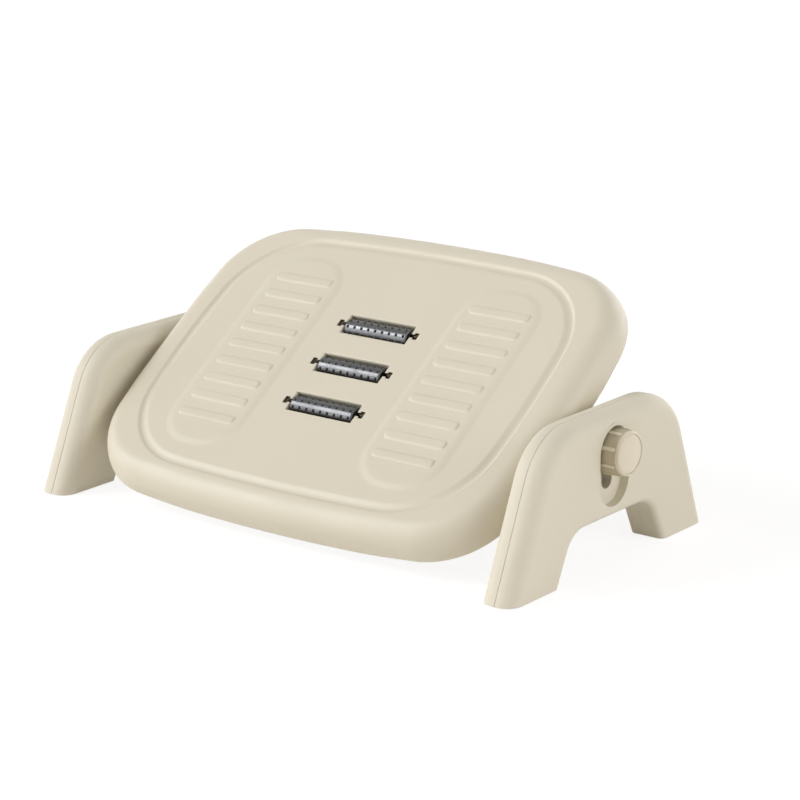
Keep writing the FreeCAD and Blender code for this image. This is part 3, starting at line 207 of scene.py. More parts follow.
def panel_height(x, y):
    """Height over the panel's plane: soft foot zones that carry rounded bars.

    Each adds its rise times a smooth step of the distance inside its own rounded oblong.
    """
    across = np.abs(x) - ZONE_CENTRE
    inside = inside_oblong(across, y, ZONE_HALF_WIDTH, ZONE_HALF_LENGTH, ZONE_CORNER)
    zone = ZONE_RISE * smooth(inside / ZONE_SLOPE + 0.5)
    number = np.clip(np.round((y - BAR_SHIFT) / BAR_PITCH), -(BARS // 2), BARS // 2)
    along = y - BAR_SHIFT - number * BAR_PITCH
    inside = inside_oblong(across, along, BAR_HALF_LENGTH, BAR_HALF_WIDTH, BAR_CORNER)
    return zone + BAR_RISE * smooth(inside / BAR_EDGE + 0.25)


def corner_share(place):
    """0 along the sides and ends of the outline, 1 in the middle of a corner."""
    return smooth(1.0 - np.abs(place - 1.5) / CORNER_SPREAD)


def crown_drop(x, y, place):
    """Fall of the crown, a quarter ellipse, taller in the corners.

    At a distance i from the outline it is f (1 - sqrt(1 - (1 - i / r)^2)), with f the whole
    fall and r the crown's reach.
    """
    rest = np.clip(1.0 - PLATE.inset_of(x, y) / CROWN_REACH, 0.0, 1.0)
    fall = CROWN_FALL + CORNER_FALL * corner_share(place)
    return fall * (1.0 - np.sqrt(1.0 - rest**2))


def groove_drop(inset):
    """Depth of the channel: a short outer slope, a narrow floor and a gentle inner slope.

    It is the lower of two smooth steps, one up from each of its edges.
    """
    outer = smooth(inset / GROOVE_OUTER)
    inner = smooth((GROOVE_WIDTH - inset) / GROOVE_INNER)
    return GROOVE_DEPTH * np.minimum(outer, inner)


def graded_lines(limit, fine_spots, exact, fine, coarse):
    """Sorted grid lines from -limit to limit, dense near some places and exact on others.

    A line closer to an exact one than about half a fine step gives way to it.
    """
    lines = [-limit]
    while lines[-1] < limit:
        here = lines[-1]
        close = any(abs(here - spot) < reach for spot, reach in fine_spots)
        lines.append(here + (fine if close else coarse))
    lines = np.array([line for line in lines if line < limit - coarse * 0.5])
    exact = np.array(sorted(set(exact) | {-limit, limit}))
    gap = np.abs(lines[:, None] - exact[None, :]).min(axis=1)
    return np.sort(np.concatenate([lines[gap > fine * 0.45], exact]))


def both_sides(values):
    """Each value with its mirror image, the negative one first."""
    return [sign * value for value in values for sign in (-1.0, 1.0)]


def panel_lines():
    """Grid lines of the core, across and along.

    They are fine at the bars' ends and edges and at the zones' inner slopes, and exact at the
    edges and bevels of the windows, axle slots and collar pockets.
    """
    ends = both_sides([ZONE_CENTRE - BAR_HALF_LENGTH, ZONE_CENTRE + BAR_HALF_LENGTH])
    slopes = both_sides([ZONE_CENTRE - ZONE_HALF_WIDTH])
    spots = [(value, BAR_END_BAND) for value in ends] + [(value, ZONE_BAND) for value in slopes]
    cuts = [value + shift for value in (WINDOW[0], NECK[0], HEAD[0]) for shift in (0.0, BEVEL)]
    cuts += [NECK[0] - BEVEL]
    x = graded_lines(CORE[0], spots, both_sides(cuts), FINE_X, COARSE)
    bars = [BAR_SHIFT + (number - BARS // 2) * BAR_PITCH for number in range(BARS)]
    spots = [(bar + side * BAR_HALF_WIDTH, BAR_EDGE_BAND) for bar in bars for side in (-1.0, 1.0)]
    cuts = [
        row + side * (half + shift)
        for row in ROWS.values()
        for side in (-1.0, 1.0)
        for half in (WINDOW[1], NECK[1], HEAD[1])
        for shift in (0.0, BEVEL)
    ]
    return x, graded_lines(CORE[1], spots, cuts, FINE_Y, COARSE)


def window_cells(x, y):
    """Cells that the three windows, axle slots and collar pockets take away."""
    middle_x = np.abs((x[1:] + x[:-1]) / 2)
    middle_y = (y[1:] + y[:-1]) / 2
    taken = np.zeros((len(y) - 1, len(x) - 1), bool)
    for row in ROWS.values():
        off = np.abs(middle_y - row)[:, None]
        for low, (reach, half) in ((0.0, WINDOW), (WINDOW[0], NECK), (NECK[0], HEAD)):
            taken |= (off < half) & (middle_x > low)[None, :] & (middle_x < reach)[None, :]
    return taken


def window_walls(x, y, taken):
    """Walls round the taken cells: their points, their faces, and which faces get painted shade.

    A wall hangs from each edge between a taken cell and a kept one. The walls past the
    windows' ends, which are those of the axle slots and collar pockets, get painted shade:
    they are drawn brown though they are the same ivory moulding.
    """
    places, points, faces, shade_painted_walls = {}, [], [], []

    def corner(row, column, depth):
        key = (row, column, depth)
        if key not in places:
            places[key] = len(points)
            points.append((x[column], y[row], PANEL - depth))
        return places[key]

    padded = np.pad(taken, 1)
    for row, column in np.argwhere(taken):
        for (near_row, near_column), first, second in CELL_EDGES:
            if padded[row + near_row, column + near_column]:
                continue
            a = (row + first[0], column + first[1])
            b = (row + second[0], column + second[1])
            upper = (corner(*a, BEVEL_DROP), corner(*b, BEVEL_DROP))
            faces.append((*upper, corner(*b, WALL), corner(*a, WALL)))
            out = (abs(x[a[1]]), abs(x[b[1]]))
            shade_painted_walls.append(min(out) > WINDOW[0] - 0.01 and max(out) > WINDOW[0] + 0.1)
    return np.array(points), faces, shade_painted_walls


def ring_places(x, y):
    """The core's rim, walked anticlockwise, with the outline place that each point leads to."""
    half_x, half_y = CORE
    bottom = [(value, -half_y) for value in x[:-1]]
    right = [(half_x, value) for value in y[:-1]]
    top = [(value, half_y) for value in x[:0:-1]]
    left = [(-half_x, value) for value in y[:0:-1]]
    rim = np.array(bottom + right + top + left)
    out_x, out_y = np.abs(rim[:, 0]), np.abs(rim[:, 1])
    turn_x, turn_y = GROOVE.corner_x, GROOVE.corner_y
    past_x = (out_x - turn_x) / (half_x - turn_x)
    past_y = (out_y - turn_y) / (half_y - turn_y)
    by_side = np.where(out_y < turn_y, out_y / turn_y, 1.0 + 0.5 * past_y)
    by_end = np.where(out_x < turn_x, 3.0 - out_x / turn_x, 2.0 - 0.5 * past_x)
    place = np.where(np.isclose(out_x, half_x), by_side, by_end)
    return rim, np.where(rim < 0, -1.0, 1.0), place


def rim_rings(x, y):
    """Rings from the core's rim over the channel and the crown and under the edge to the lip.

    Each ring has one point for each point of the core's rim. At a turn t below the crown the
    wall stands in by r (1 - cos t) and up by h (1 - sin t).
    """
    rim, signs, place = ring_places(x, y)
    rings = []

    def add(flat, height):
        rings.append(np.column_stack([flat, np.broadcast_to(height, len(flat))]))

    channel = GROOVE_WIDTH + GROOVE_MARGIN
    inner = np.stack(GROOVE.point(place, channel), 1) * signs
    for share in np.linspace(0.0, 1.0, PANEL_RINGS)[:-1]:
        flat = rim + (inner - rim) * share
        add(flat, PANEL + panel_height(*flat.T))
    for inset in np.linspace(channel, -GROOVE_MARGIN, GROOVE_RINGS):
        flat = np.stack(GROOVE.point(place, inset), 1) * signs
        add(flat, PANEL - (crown_drop(*flat.T, place) + groove_drop(inset)))
    start = flat
    edge = np.stack(PLATE.point(place, 0.0), 1) * signs
    for turn in np.linspace(0.0, math.pi / 2, CROWN_RINGS)[1:]:
        flat = start + (edge - start) * math.sin(turn)
        add(flat, PANEL - crown_drop(*flat.T, place))
    reach = TURN_REACH + CORNER_TURN * corner_share(place)
    rise = PANEL - UNDERSIDE - CROWN_FALL - CORNER_FALL * corner_share(place)
    for turn in np.linspace(0.0, math.pi / 2, TURN_RINGS)[1:]:
        flat = np.stack(PLATE.point(place, reach * (1 - math.cos(turn))), 1) * signs
        add(flat, UNDERSIDE + rise * (1 - math.sin(turn)))
    for inset, up in LIP_STEPS:
        add(np.stack(LIP_LINE.point(place, inset), 1) * signs, UNDERSIDE + up)
    return rings


def platform_top():
    """The platform's outer skin: a fine core with windows and their walls, and rings round it."""
    x, y = panel_lines()
    grid_x, grid_y = np.meshgrid(x, y)
    taken = window_cells(x, y)
    taken_round = np.zeros((len(y), len(x)), int)
    for down in (0, 1):
        for right in (0, 1):
            part = (slice(down, down + len(y) - 1), slice(right, right + len(x) - 1))
            taken_round[part] += taken
    on_edge = (taken_round > 0) & (taken_round < 4)
    height = PANEL + panel_height(grid_x, grid_y) - np.where(on_edge, BEVEL_DROP, 0.0)
    core = np.stack([grid_x, grid_y, height], -1).reshape(-1, 3)
    walls, wall_faces, shade_painted_walls = window_walls(x, y, taken)
    rings = rim_rings(x, y)

    faces = grid_faces(len(y), len(x), kept=~taken)
    first_wall = len(faces)
    faces += [tuple(len(core) + number for number in face) for face in wall_faces]
    start = len(core) + len(walls)
    ring_faces = grid_faces(len(rings), len(rings[0]), start=start, around=True)
    faces += [face[::-1] for face in ring_faces]
    points = np.concatenate([core, walls, *rings])
    points[:, 1] += PLATE_SHIFT
    piece = make_mesh("platform_moulding", on_platform(points), faces)
    # Walls of the axle slots and collar pockets take the second material, painted shade
    for number, wall_shade_painted in enumerate(shade_painted_walls):
        piece.data.polygons[first_wall + number].material_index = int(wall_shade_painted)
    weld(piece, WELD)
    return piece


def weld(piece, distance):
    """Join points of a mesh that lie on one another."""
    work = bmesh.new()
    work.from_mesh(piece.data)
    bmesh.ops.remove_doubles(work, verts=work.verts, dist=distance)
    work.to_mesh(piece.data)
    work.free()
    piece.data.shade_smooth()


def hexagon_reach(flats, angle):
    """Distance from the axis to the side of a hexagon with a corner straight up."""
    turned = (angle + math.pi / 6) % (math.pi / 3) - math.pi / 6
    return flats / 2 / np.cos(turned)


EAR_INNER, EAR_OUTER, EAR_RADIUS, EAR_SIDES = 203.0, 233.0, 17.0, 96
EAR_BORE, EAR_POCKET, EAR_FLATS = 4.05, 208.4, 13.2
EAR_ROUND, EAR_CHAMFER, EAR_BAND = 0.8, 0.25, 8.0


def pivot_ear(side):
    """A round boss on the tilt axis with a bore and a hexagon pocket on its inner side.

    The rings at radii of 8, 10 and 6 only part its flat faces, which keeps their shading flat.
    """
    angle = angles(EAR_SIDES)
    pocket = hexagon_reach(EAR_FLATS, angle)
    profile = [
        (EAR_OUTER, EAR_BORE),
        (EAR_OUTER, 8.0),
        (EAR_OUTER, EAR_RADIUS - EAR_ROUND),
        (EAR_OUTER - EAR_CHAMFER, EAR_RADIUS - EAR_CHAMFER),
        (EAR_OUTER - EAR_ROUND, EAR_RADIUS),
        (EAR_OUTER - EAR_BAND, EAR_RADIUS),
        (EAR_INNER + EAR_BAND, EAR_RADIUS),
        (EAR_INNER + EAR_ROUND, EAR_RADIUS),
        (EAR_INNER + EAR_CHAMFER, EAR_RADIUS - EAR_CHAMFER),
        (EAR_INNER, EAR_RADIUS - EAR_ROUND),
        (EAR_INNER, 10.0),
        (EAR_INNER, pocket),
        (EAR_POCKET, pocket),
        (EAR_POCKET, 6.0),
        (EAR_POCKET, EAR_BORE),
        (EAR_OUTER, EAR_BORE),
    ]
    points, faces = lathe(profile, angle)
    points = points.reshape(-1, 3) * np.array([side, 1.0, 1.0])
    if side < 0:
        faces = [face[::-1] for face in faces]
    return make_mesh("%s_pivot_ear" % ("right" if side > 0 else "left"), on_platform(points), faces)


# The knobs

KNOB_BASE, KNOB_HEIGHT, KNOB_RADIUS, KNOB_INNER = 263.6, 22.4, 19.2, 17.2
KNOB_ROUND, KNOB_BACK, HUB_RADIUS, BOLT_HOLE = 2.0, 18.4, 11.0, 4.4
SEAT_FLOOR, SEAT_RADIUS, NUT_FLATS, NUT_POCKET = 20.8, 16.9, 13.2, 7.0
RIDGES, RIDGE_CENTRE, RIDGE_RADIUS, RIDGE_LENGTH = 8, 18.6, 2.2, 16.0
RIDGE_START = {1: 294.0, -1: 66.0}
SKIRT_RISE = 0.95
KNOB_SIDES, KNOB_RIM_RINGS = 384, 9
SKIRT_RINGS = (
    0.0, 0.4, 3.0, 6.0, 9.0, 12.0, 14.0, 15.0, 16.0,
    16.4, 16.8, 17.1, 17.4, 17.6, 17.8, 18.0, 18.2, 18.6,
)


def ridge_reach(along, angle, side):
    """Reach of the skirt with its grip ridges, rods with ball ends let into a cylinder.

    At an angle d from a ridge at height a the rod reaches c cos d + sqrt(r^2 - (c sin d)^2 - e^2),
    with e how far a is past the rod's straight length. The skirt is the larger of that and its radius.
    """
    step = 2 * math.pi / RIDGES
    off = (angle - math.radians(RIDGE_START[side]) + step / 2) % step - step / 2
    past = max(along - RIDGE_LENGTH, 0.0)
    inside = RIDGE_RADIUS**2 - (RIDGE_CENTRE * np.sin(off)) ** 2 - past**2
    rod = RIDGE_CENTRE * np.cos(off) + np.sqrt(np.clip(inside, 0.0, None))
    return np.where(inside > 0.0, np.maximum(rod, KNOB_RADIUS), KNOB_RADIUS)


def knob_grip(side):
    """The knob's hollow body with ridges, a rounded rim and a seat for its cap.

    It is a turned profile: hub and hollow from below, the skirt, a quarter-round rim and the
    seat. Rings a few tenths apart keep its edges crisp. The skirt's faces that rise less than
    SKIRT_RISE over its radius, which are those between the ridges, get the second material,
    a darker tan that is painted shade.
    """
    angle = angles(KNOB_SIDES)
    nut = hexagon_reach(NUT_FLATS, angle)
    under = [
        (KNOB_BACK, 0.0), (KNOB_BACK, BOLT_HOLE), (NUT_POCKET, BOLT_HOLE), (NUT_POCKET, nut), (0.0, nut),
        (0.0, 9.0), (0.0, HUB_RADIUS), (0.3, HUB_RADIUS), (KNOB_BACK - 0.3, HUB_RADIUS),
        (KNOB_BACK, HUB_RADIUS), (KNOB_BACK, KNOB_INNER), (KNOB_BACK - 0.3, KNOB_INNER),
        (0.3, KNOB_INNER), (0.0, KNOB_INNER + 0.2),
    ]
    skirt = [(along, ridge_reach(along, angle, side)) for along in SKIRT_RINGS]
    rim = [
        (
            KNOB_HEIGHT - KNOB_ROUND * (1 - math.sin(turn)),
            KNOB_RADIUS - KNOB_ROUND * (1 - math.cos(turn)),
        )
        for turn in np.linspace(0.0, math.pi / 2, KNOB_RIM_RINGS)
    ]
    seat = [
        (KNOB_HEIGHT, SEAT_RADIUS + 0.35), (KNOB_HEIGHT - 0.12, SEAT_RADIUS + 0.1),
        (KNOB_HEIGHT - 0.35, SEAT_RADIUS), (SEAT_FLOOR, SEAT_RADIUS), (SEAT_FLOOR, SEAT_RADIUS - 0.4),
        (SEAT_FLOOR, 0.0),
    ]
    points, faces = lathe(under + skirt + rim + seat, angle)
    raised = np.hypot(points[..., 1], points[..., 2]) - KNOB_RADIUS
    beside = np.roll(raised, -1, axis=1)
    mean = (raised[:-1] + raised[1:] + beside[:-1] + beside[1:]) / 4
    number = np.arange(len(mean))[:, None]
    first, last = len(under) - 1, len(under) + len(skirt) - 1
    # plain marks the skirt's faces between the ridges, which get the painted shade
    plain = (mean < SKIRT_RISE) & (number >= first) & (number < last)
    points = (points.reshape(-1, 3) + np.array([KNOB_BASE, 0.0, 0.0])) * np.array([side, 1.0, 1.0])
    points[:, 2] += AXIS_HEIGHT
    if side < 0:
        faces = [face[::-1] for face in faces]
    piece = make_mesh("%s_knob_grip" % ("right" if side > 0 else "left"), points * MM, faces)
    piece.data.polygons.foreach_set("material_index", plain.astype(np.int32).ravel())
    return piece


# The studded rollers

ROLLER_RADIUS, ROLLER_HALF, ROLLER_BORE, ROLLER_DEPTH = 9.3, 35.0, 2.025, 6.9
ROLLER_ROUND, ROLLER_CHAMFER = 0.8, 0.23
STUD_RADIUS, STUD_RISE, STUD_PITCH, STUDS_ALONG, STUD_ROWS = 1.25, 1.0, 7.9, 9, 9
DOME_POWER, STUD_BAND, STUD_LINES = 0.62, 1.7, 15
# STUD_SHARE reaches past a stud's edge, so the near-black stud colour also makes a painted shade ring
# round each base
STUD_SHARE, NO_STUD = 1.2, 9.0
TURNS = {"front": 2.0, "middle": 5.0, "rear": 25.0}


def studded(offset):
    """Rise of a domed stud, h (1 - d^2)^p at a distance d from its middle in units of its radius."""
    return STUD_RISE * np.clip(1.0 - offset**2, 0.0, 1.0) ** DOME_POWER


def roller(row):
    """A barrel with domed studs, whose grid lines gather on the studs in both directions.

    Its radius is the barrel's plus the rise of the nearest stud. The faces nearer to a stud's
    middle than STUD_SHARE of its radius get the second material: near-black studs, with a ring
    of painted shade round each base where the share reaches past the stud's edge.
    """
    lines = np.linspace(-STUD_BAND, STUD_BAND, STUD_LINES)
    spots = (np.arange(STUDS_ALONG) - (STUDS_ALONG - 1) / 2) * STUD_PITCH
    along = (spots[:, None] + np.append(lines, STUD_PITCH / 2)).ravel()
    limit = ROLLER_HALF - ROLLER_ROUND
    along = np.concatenate([[-limit], along[np.abs(along) < limit - 0.01], [limit]])
    step = 2 * math.pi / STUD_ROWS
    rows = np.arange(STUD_ROWS) * step
    angle = (rows[:, None] + np.append(lines / ROLLER_RADIUS, step / 2)).ravel()
    near_spot = np.abs(along[:, None] - spots).min(axis=1)[:, None]
    near_row = np.abs((angle + step / 2) % step - step / 2) * ROLLER_RADIUS
    offset = np.hypot(near_spot, near_row) / STUD_RADIUS
    ends = [
        (0.0, ROLLER_BORE), (0.0, 5.0), (0.0, ROLLER_RADIUS - ROLLER_ROUND),
        (ROLLER_CHAMFER, ROLLER_RADIUS - ROLLER_CHAMFER),
    ]
    profile = [(-ROLLER_HALF + shift, radius) for shift, radius in ends]
    profile += list(zip(along, ROLLER_RADIUS + studded(offset)))
    profile += [(ROLLER_HALF - shift, radius) for shift, radius in ends[::-1]]
    points, faces = lathe(profile, angle + math.radians(90.0 + TURNS[row]))
    points[..., 1] += PLATE_SHIFT + ROWS[row]
    points[..., 2] += PANEL - ROLLER_DEPTH
    barrel = make_mesh(row + "_roller_barrel", on_platform(points.reshape(-1, 3)), faces)
    offset = np.pad(offset, ((len(ends), len(ends)), (0, 0)), constant_values=NO_STUD)
    beside = np.roll(offset, -1, axis=1)
    mean = (offset[:-1] + offset[1:] + beside[:-1] + beside[1:]) / 4
    barrel.data.polygons.foreach_set("material_index", (mean < STUD_SHARE).astype(np.int32).ravel())
    return barrel


# Materials

CLOUD_SCALE, PATCH_SCALE, RELIEF_SCALE = 9.0, 38.0, 1400.0
SHADE_SATURATION, PATCH_RELIEF, BUMP_DEPTH = 1.12, 0.35, 0.00012
MIX_FACTOR, MIX_FIRST, MIX_SECOND = 0, 6, 7


def new_group(name, inputs, outputs):
    """A shader node group with named sockets: (name, kind, default) and (name, kind)."""
    group = bpy.data.node_groups.new(name, "ShaderNodeTree")
    for label, kind, default in inputs:
        socket = group.interface.new_socket(label, in_out="INPUT", socket_type="NodeSocket" + kind)
        if default is not None:
            socket.default_value = default
    for label, kind in outputs:
        group.interface.new_socket(label, in_out="OUTPUT", socket_type="NodeSocket" + kind)
    return group, group.nodes.new("NodeGroupInput"), group.nodes.new("NodeGroupOutput")


def noise(tree, vector, scale, detail, rough=0.55):
    """Noise from 0 to 1; its scale is a number or comes from a socket."""
    node = tree.nodes.new("ShaderNodeTexNoise")
    if isinstance(scale, (int, float)):
        node.inputs["Scale"].default_value = scale
    else:
        tree.links.new(scale, node.inputs["Scale"])
    node.inputs["Detail"].default_value = detail
    node.inputs["Roughness"].default_value = rough
    tree.links.new(vector, node.inputs["Vector"])
    return node.outputs["Fac"]


def remap(tree, value, low, high, to_low=0.0, to_high=1.0):
    """Carry the range low to high over to the range to_low to to_high, held at its ends."""
    node = tree.nodes.new("ShaderNodeMapRange")
    labels = ("From Min", "From Max", "To Min", "To Max")
    for label, amount in zip(labels, (low, high, to_low, to_high)):
        node.inputs[label].default_value = amount
    tree.links.new(value, node.inputs["Value"])
    return node.outputs["Result"]


def maths(tree, operation, first, second):
    """One operation on two values, each a number or a socket."""
    node = tree.nodes.new("ShaderNodeMath")
    node.operation = operation
    for slot, value in enumerate((first, second)):
        if isinstance(value, (int, float)):
            node.inputs[slot].default_value = value
        else:
            tree.links.new(value, node.inputs[slot])
    return node.outputs[0]


def mixed(tree, share, first, second):
    """A mix of two colours: the first at share 0, the second at share 1."""
    node = tree.nodes.new("ShaderNodeMix")
    node.data_type = "RGBA"
    for slot, value in ((MIX_FACTOR, share), (MIX_FIRST, first), (MIX_SECOND, second)):
        tree.links.new(value, node.inputs[slot])
    return node.outputs[2]


def moulded_group():
    """Injection-moulded plastic: slight mottling, fine speckled relief and patchy sheen.

    Its colour goes towards a darker shade by clouds and specks, its roughness rises and falls
    by patches, and its normal follows a fine grain.
    """
    group, given, result = new_group(
        "Moulded surface",
        [
            ("Vector", "Vector", None), ("Colour", "Color", (0.7, 0.65, 0.5, 1.0)),
            ("Mottling", "Float", 0.05), ("Grain", "Float", 0.1), ("Roughness", "Float", 0.42),
            ("Sheen change", "Float", 0.08), ("Shade", "Float", 0.86), ("Speck scale", "Float", 900.0),
        ],
        [("Colour", "Color"), ("Roughness", "Float"), ("Normal", "Vector")],
    )
    vector, colour = given.outputs["Vector"], given.outputs["Colour"]
    cloud = noise(group, vector, CLOUD_SCALE, 4.0)
    speck = noise(group, vector, given.outputs["Speck scale"], 2.0)
    patch = noise(group, vector, PATCH_SCALE, 5.0, 0.6)
    grain = noise(group, vector, RELIEF_SCALE, 2.0)

    shade = group.nodes.new("ShaderNodeHueSaturation")
    shade.inputs["Saturation"].default_value = SHADE_SATURATION
    group.links.new(given.outputs["Shade"], shade.inputs["Value"])
    group.links.new(colour, shade.inputs["Color"])
    clouds, specks = remap(group, cloud, 0.35, 0.65), remap(group, speck, 0.3, 0.7, 0.0, 0.6)
    share = maths(group, "MULTIPLY", maths(group, "ADD", clouds, specks), given.outputs["Mottling"])
    group.links.new(mixed(group, share, colour, shade.outputs["Color"]), result.inputs["Colour"])

    change = remap(group, patch, 0.3, 0.7, -0.5, 0.5)
    sheen = maths(group, "MULTIPLY", change, given.outputs["Sheen change"])
    rough = maths(group, "ADD", given.outputs["Roughness"], sheen)
    group.links.new(rough, result.inputs["Roughness"])

    relief = maths(group, "ADD", grain, maths(group, "MULTIPLY", patch, PATCH_RELIEF))
    bump = group.nodes.new("ShaderNodeBump")
    bump.inputs["Distance"].default_value = BUMP_DEPTH
    group.links.new(given.outputs["Grain"], bump.inputs["Strength"])
    group.links.new(relief, bump.inputs["Height"])
    group.links.new(bump.outputs["Normal"], result.inputs["Normal"])
    return group


def linear(red, green, blue):
    """Linear colour from the 0 to 255 values of a picture."""
    out = []
    for value in (red, green, blue):
        value /= 255.0
        out.append(value / 12.92 if value <= 0.04045 else ((value + 0.055) / 1.055) ** 2.4)
    return (*out, 1.0)


MOULDED = moulded_group()


def moulded(name, colour, roughness, mottling, grain, change,
            metallic=0.0, ior=1.5, shade=0.86, speck=900.0):
    """A material of the moulded group, its metallic and IOR set on the shader itself."""
    material = bpy.data.materials.new(name)
    material.use_nodes = True
    tree = material.node_tree
    shader = tree.nodes["Principled BSDF"]
    coords = tree.nodes.new("ShaderNodeTexCoord")
    group = tree.nodes.new("ShaderNodeGroup")
    group.node_tree = MOULDED
    tree.links.new(coords.outputs["Object"], group.inputs["Vector"])
    group.inputs["Colour"].default_value = linear(*colour)
    for label, amount in (
        ("Mottling", mottling), ("Grain", grain), ("Roughness", roughness), ("Sheen change", change),
        ("Shade", shade), ("Speck scale", speck),
    ):
        group.inputs[label].default_value = amount
    tree.links.new(group.outputs["Colour"], shader.inputs["Base Color"])
    tree.links.new(group.outputs["Roughness"], shader.inputs["Roughness"])
    tree.links.new(group.outputs["Normal"], shader.inputs["Normal"])
    shader.inputs["Metallic"].default_value = metallic
    shader.inputs["IOR"].default_value = ior
    return material


IVORY = (222, 215, 197)
LOOKS = {
    "platform_shell": moulded("platform_ivory", (220, 212, 193), 0.45, 0.10, 0.16, 0.10),
    "stand_shells": moulded("stand_ivory", IVORY, 0.50, 0.10, 0.14, 0.10, ior=1.36),
    "knob_plastic": moulded("knob_ivory", (226, 216, 196), 0.36, 0.08, 0.10, 0.08, ior=1.36),
    "cover_plastic": moulded("cover_ivory", (212, 203, 183), 0.50, 0.14, 0.30, 0.10),
    # The cradle's ivory is lighter than the rest: painted light that lifts it where it sits in the
    # windows' shade
    "cradle_plastic": moulded("cradle_ivory_painted_light", (228, 220, 200), 0.45, 0.12, 0.15, 0.10),
    "roller_plastic": moulded("roller_lacquer", (103, 103, 104), 0.27, 0.9, 0.40, 0.16,
                              metallic=1.0, shade=0.5, speck=500.0),
    # The bush's brown is painted shade: the warm shade seen in the slot it slides in
    "bush_plastic": moulded("bush_brown_painted_slot_shade", (150, 114, 76), 0.45, 0.15, 0.12, 0.10),
    "washer_plastic": moulded("washer_dark", (62, 60, 57), 0.60, 0.20, 0.20, 0.10),
    "pad_rubber": moulded("pad_rubber", (52, 51, 50), 0.72, 0.25, 0.45, 0.12),
    "steel": moulded("plated_steel", (168, 166, 160), 0.30, 0.20, 0.10, 0.14, metallic=1.0),
}

# Painted shade: the knob skirt between the ridges is drawn a darker tan than the knob
SKIRT_PAINTED_SHADE_LOOK = moulded("knob_skirt_painted_shade", (192, 181, 154), 0.55, 0.22, 0.45, 0.12)
# Painted shade: a deep brown for the shaded walls of the axle slots and collar pockets, which are ivory
# moulding
POCKET_PAINTED_SHADE_LOOK = moulded("axle_pocket_painted_shade", (72, 61, 46), 0.55, 0.20, 0.20, 0.10)
# Near-black studs; past each stud's edge the same colour is a painted shade ring round its base
STUD_AND_SHADE_RING_LOOK = moulded("stud_rubber_and_painted_shade_ring", (22, 22, 23), 0.32, 0.20, 0.20, 0.10, ior=1.42)
# The axles are drawn near black in place of their slot's steel
AXLE_LOOK = moulded("axle_near_black", (36, 34, 31), 0.40, 0.20, 0.10, 0.10, metallic=0.6)


# Pieces


def dress(piece, body, slot):
    """Put a piece on its body, with its slot's look as its first material."""
    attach(piece, body)
    piece.data.materials.append(LOOKS[slot])


platform = platform_top()
dress(platform, "platform", "platform_shell")
# The second material paints shade on the walls of the axle slots and collar pockets
platform.data.materials.append(POCKET_PAINTED_SHADE_LOOK)
ears = [pivot_ear(side) for side in (1, -1)]
for ear in ears:
    dress(ear, "platform", "platform_shell")
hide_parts("platform_top_shell")
for side, hand in ((1, "right"), (-1, "left")):
    grip = knob_grip(side)
    dress(grip, hand + "_knob", "knob_plastic")
    # The second material paints shade on the skirt between the ridges
    grip.data.materials.append(SKIRT_PAINTED_SHADE_LOOK)
    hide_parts(hand + "_knob")
for row in ROWS:
    barrel = roller(row)
    dress(barrel, row + "_roller", "roller_plastic")
    # The second material is the studs' colour and a painted shade ring round each stud
    barrel.data.materials.append(STUD_AND_SHADE_RING_LOOK)
    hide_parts(row + "_roller")

SLOT_OF = {entry["node"]: entry["material_slot"] for entry in frame["record"]["subparts"]}
for name, node in frame["nodes"].items():
    # Axles take the near-black look instead of their steel slot's
    look = AXLE_LOOK if name.endswith("_roller_axle") else LOOKS[SLOT_OF[name]]
    node.data.materials.clear()
    node.data.materials.append(look)
    if not node.hide_render:
        node.data.shade_smooth()


# Floor, lights and camera

FLOOR_REACH = 6.0
FLOOR_COLOUR = (0.93, 0.91, 0.86, 1.0)
FLOOR_GLOW = 0.83
FLOOR_SHARE = 0.26
WHITE = (1.0, 1.0, 1.0, 1.0)
SKY_LEVEL = 0.40
SKY_COLOUR = (1.0, 0.955, 0.89, 1.0)
SUN_COLOUR = (1.0, 1.02, 1.048)

# Azimuth (0 in front, 90 to the right), elevation, level and spread of each sun
SUNS = {
    "key_low": (-50.0, 12.0, 0.55, 60.0),
    "key_high": (-50.0, 36.0, 0.25, 24.0),
    "side": (100.0, 20.0, 0.36, 40.0),
    "rear": (180.0, 12.0, 0.18, 40.0),
}

CAMERA_ANGLES = (37.67, 15.58, -0.16)
CAMERA_PLACE = (1.4385, -1.8105, 0.7448)
FOCAL_PIXELS, PHOTO_PIXELS, SENSOR = 2654.3, 800.0, 36.0


def seen_directly(tree):
    """1 for camera, glossy and transmission rays, 0 for the rays that light the object."""
    path = tree.nodes.new("ShaderNodeLightPath")
    seen = maths(tree, "MAXIMUM", path.outputs["Is Camera Ray"], path.outputs["Is Glossy Ray"])
    return maths(tree, "MAXIMUM", seen, path.outputs["Is Transmission Ray"])


def surface_of(tree, output, share, first, second):
    """Give an output the mix of two shaders: the first at share 0, the second at share 1."""
    blend = tree.nodes.new("ShaderNodeMixShader")
    for slot, source in enumerate((share, first, second)):
        tree.links.new(source, blend.inputs[slot])
    tree.links.new(blend.outputs[0], tree.nodes[output].inputs["Surface"])


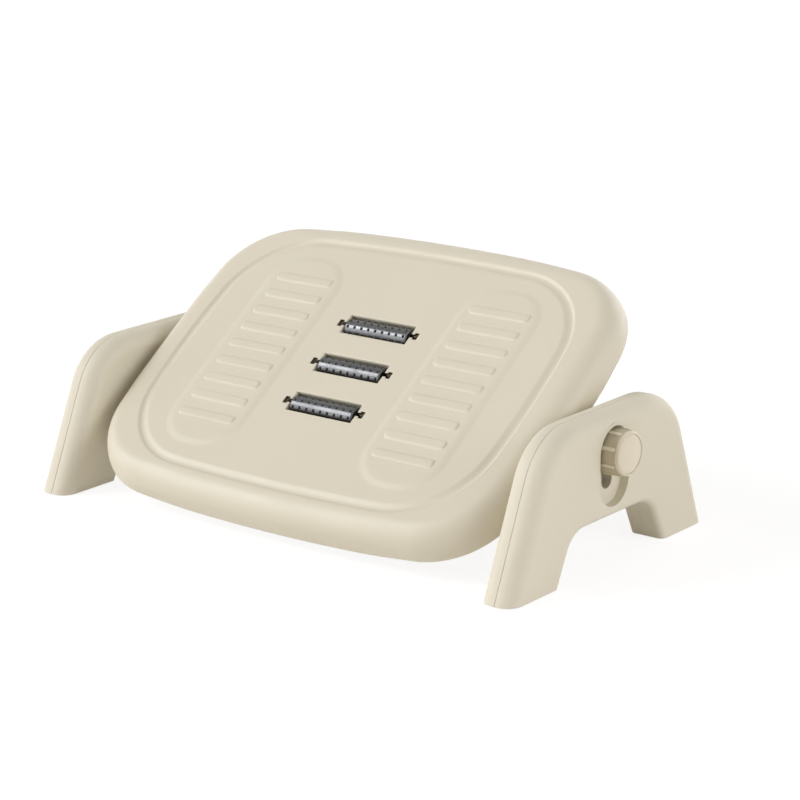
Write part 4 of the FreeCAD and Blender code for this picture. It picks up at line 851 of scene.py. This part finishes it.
def floor_material():
    """White to the camera but for the object's shadow, and a plain pale floor to every other ray."""
    material = bpy.data.materials.new("studio_floor")
    material.use_nodes = True
    tree = material.node_tree
    plain = tree.nodes["Principled BSDF"]
    plain.inputs["Base Color"].default_value = FLOOR_COLOUR
    plain.inputs["Roughness"].default_value = 0.8
    shaded = tree.nodes.new("ShaderNodeBsdfDiffuse")
    shaded.inputs["Color"].default_value = (FLOOR_SHARE, FLOOR_SHARE, FLOOR_SHARE, 1.0)
    glow = tree.nodes.new("ShaderNodeEmission")
    glow.inputs["Color"].default_value = WHITE
    glow.inputs["Strength"].default_value = FLOOR_GLOW
    both = tree.nodes.new("ShaderNodeAddShader")
    tree.links.new(shaded.outputs[0], both.inputs[0])
    tree.links.new(glow.outputs[0], both.inputs[1])
    surface_of(tree, "Material Output", seen_directly(tree), plain.outputs[0], both.outputs[0])
    return material


def studio_floor():
    """A flat floor, wide enough to fill the view."""
    far = FLOOR_REACH
    points = [(-far, -far, 0.0), (far, -far, 0.0), (far, far, 0.0), (-far, far, 0.0)]
    floor = make_mesh("studio_floor", points, [(0, 1, 2, 3)])
    floor.data.materials.append(floor_material())


def studio_world():
    """White where camera, glossy and transmission rays see it, a soft warm level on the object."""
    world = bpy.data.worlds.new("studio")
    world.use_nodes = True
    tree = world.node_tree
    soft = tree.nodes["Background"]
    soft.inputs["Color"].default_value = SKY_COLOUR
    soft.inputs["Strength"].default_value = SKY_LEVEL
    white = tree.nodes.new("ShaderNodeBackground")
    white.inputs["Color"].default_value = WHITE
    white.inputs["Strength"].default_value = 1.0
    surface_of(tree, "World Output", seen_directly(tree), soft.outputs[0], white.outputs[0])
    bpy.context.scene.world = world


def sun(name, azimuth, elevation, level, spread):
    """A broad sun; at level 1 it shows a colour that faces it as it is written."""
    light = bpy.data.lights.new(name, "SUN")
    light.energy = level * math.pi
    light.color = SUN_COLOUR
    light.angle = math.radians(spread)
    turn, lift = math.radians(azimuth), math.radians(elevation)
    towards = Vector((math.sin(turn) * math.cos(lift), -math.cos(turn) * math.cos(lift), math.sin(lift)))
    holder = bpy.data.objects.new(name, light)
    holder.rotation_euler = (-towards).to_track_quat("-Z", "Y").to_euler()
    bpy.context.collection.objects.link(holder)


def photo_camera():
    """The camera fitted to the photograph, its axes worked out from azimuth, elevation and roll."""
    azimuth, elevation, roll = (math.radians(value) for value in CAMERA_ANGLES)
    level = math.cos(elevation)
    ahead = Vector((-math.sin(azimuth) * level, math.cos(azimuth) * level, -math.sin(elevation)))
    right = Vector((math.cos(azimuth), math.sin(azimuth), 0.0))
    up = right.cross(ahead)
    across = right * math.cos(roll) + up * math.sin(roll)
    above = up * math.cos(roll) - right * math.sin(roll)
    lens = bpy.data.cameras.new("photo_camera")
    lens.sensor_width = SENSOR
    lens.lens = SENSOR * FOCAL_PIXELS / PHOTO_PIXELS
    lens.clip_end = 50.0
    camera = bpy.data.objects.new("photo_camera", lens)
    turned = Matrix((across, above, -ahead)).transposed().to_4x4()
    camera.matrix_world = Matrix.Translation(Vector(CAMERA_PLACE)) @ turned
    bpy.context.collection.objects.link(camera)
    bpy.context.scene.camera = camera


studio_floor()
studio_world()
for name, values in SUNS.items():
    sun(name, *values)
photo_camera()
bpy.context.scene.view_settings.view_transform = "Standard"
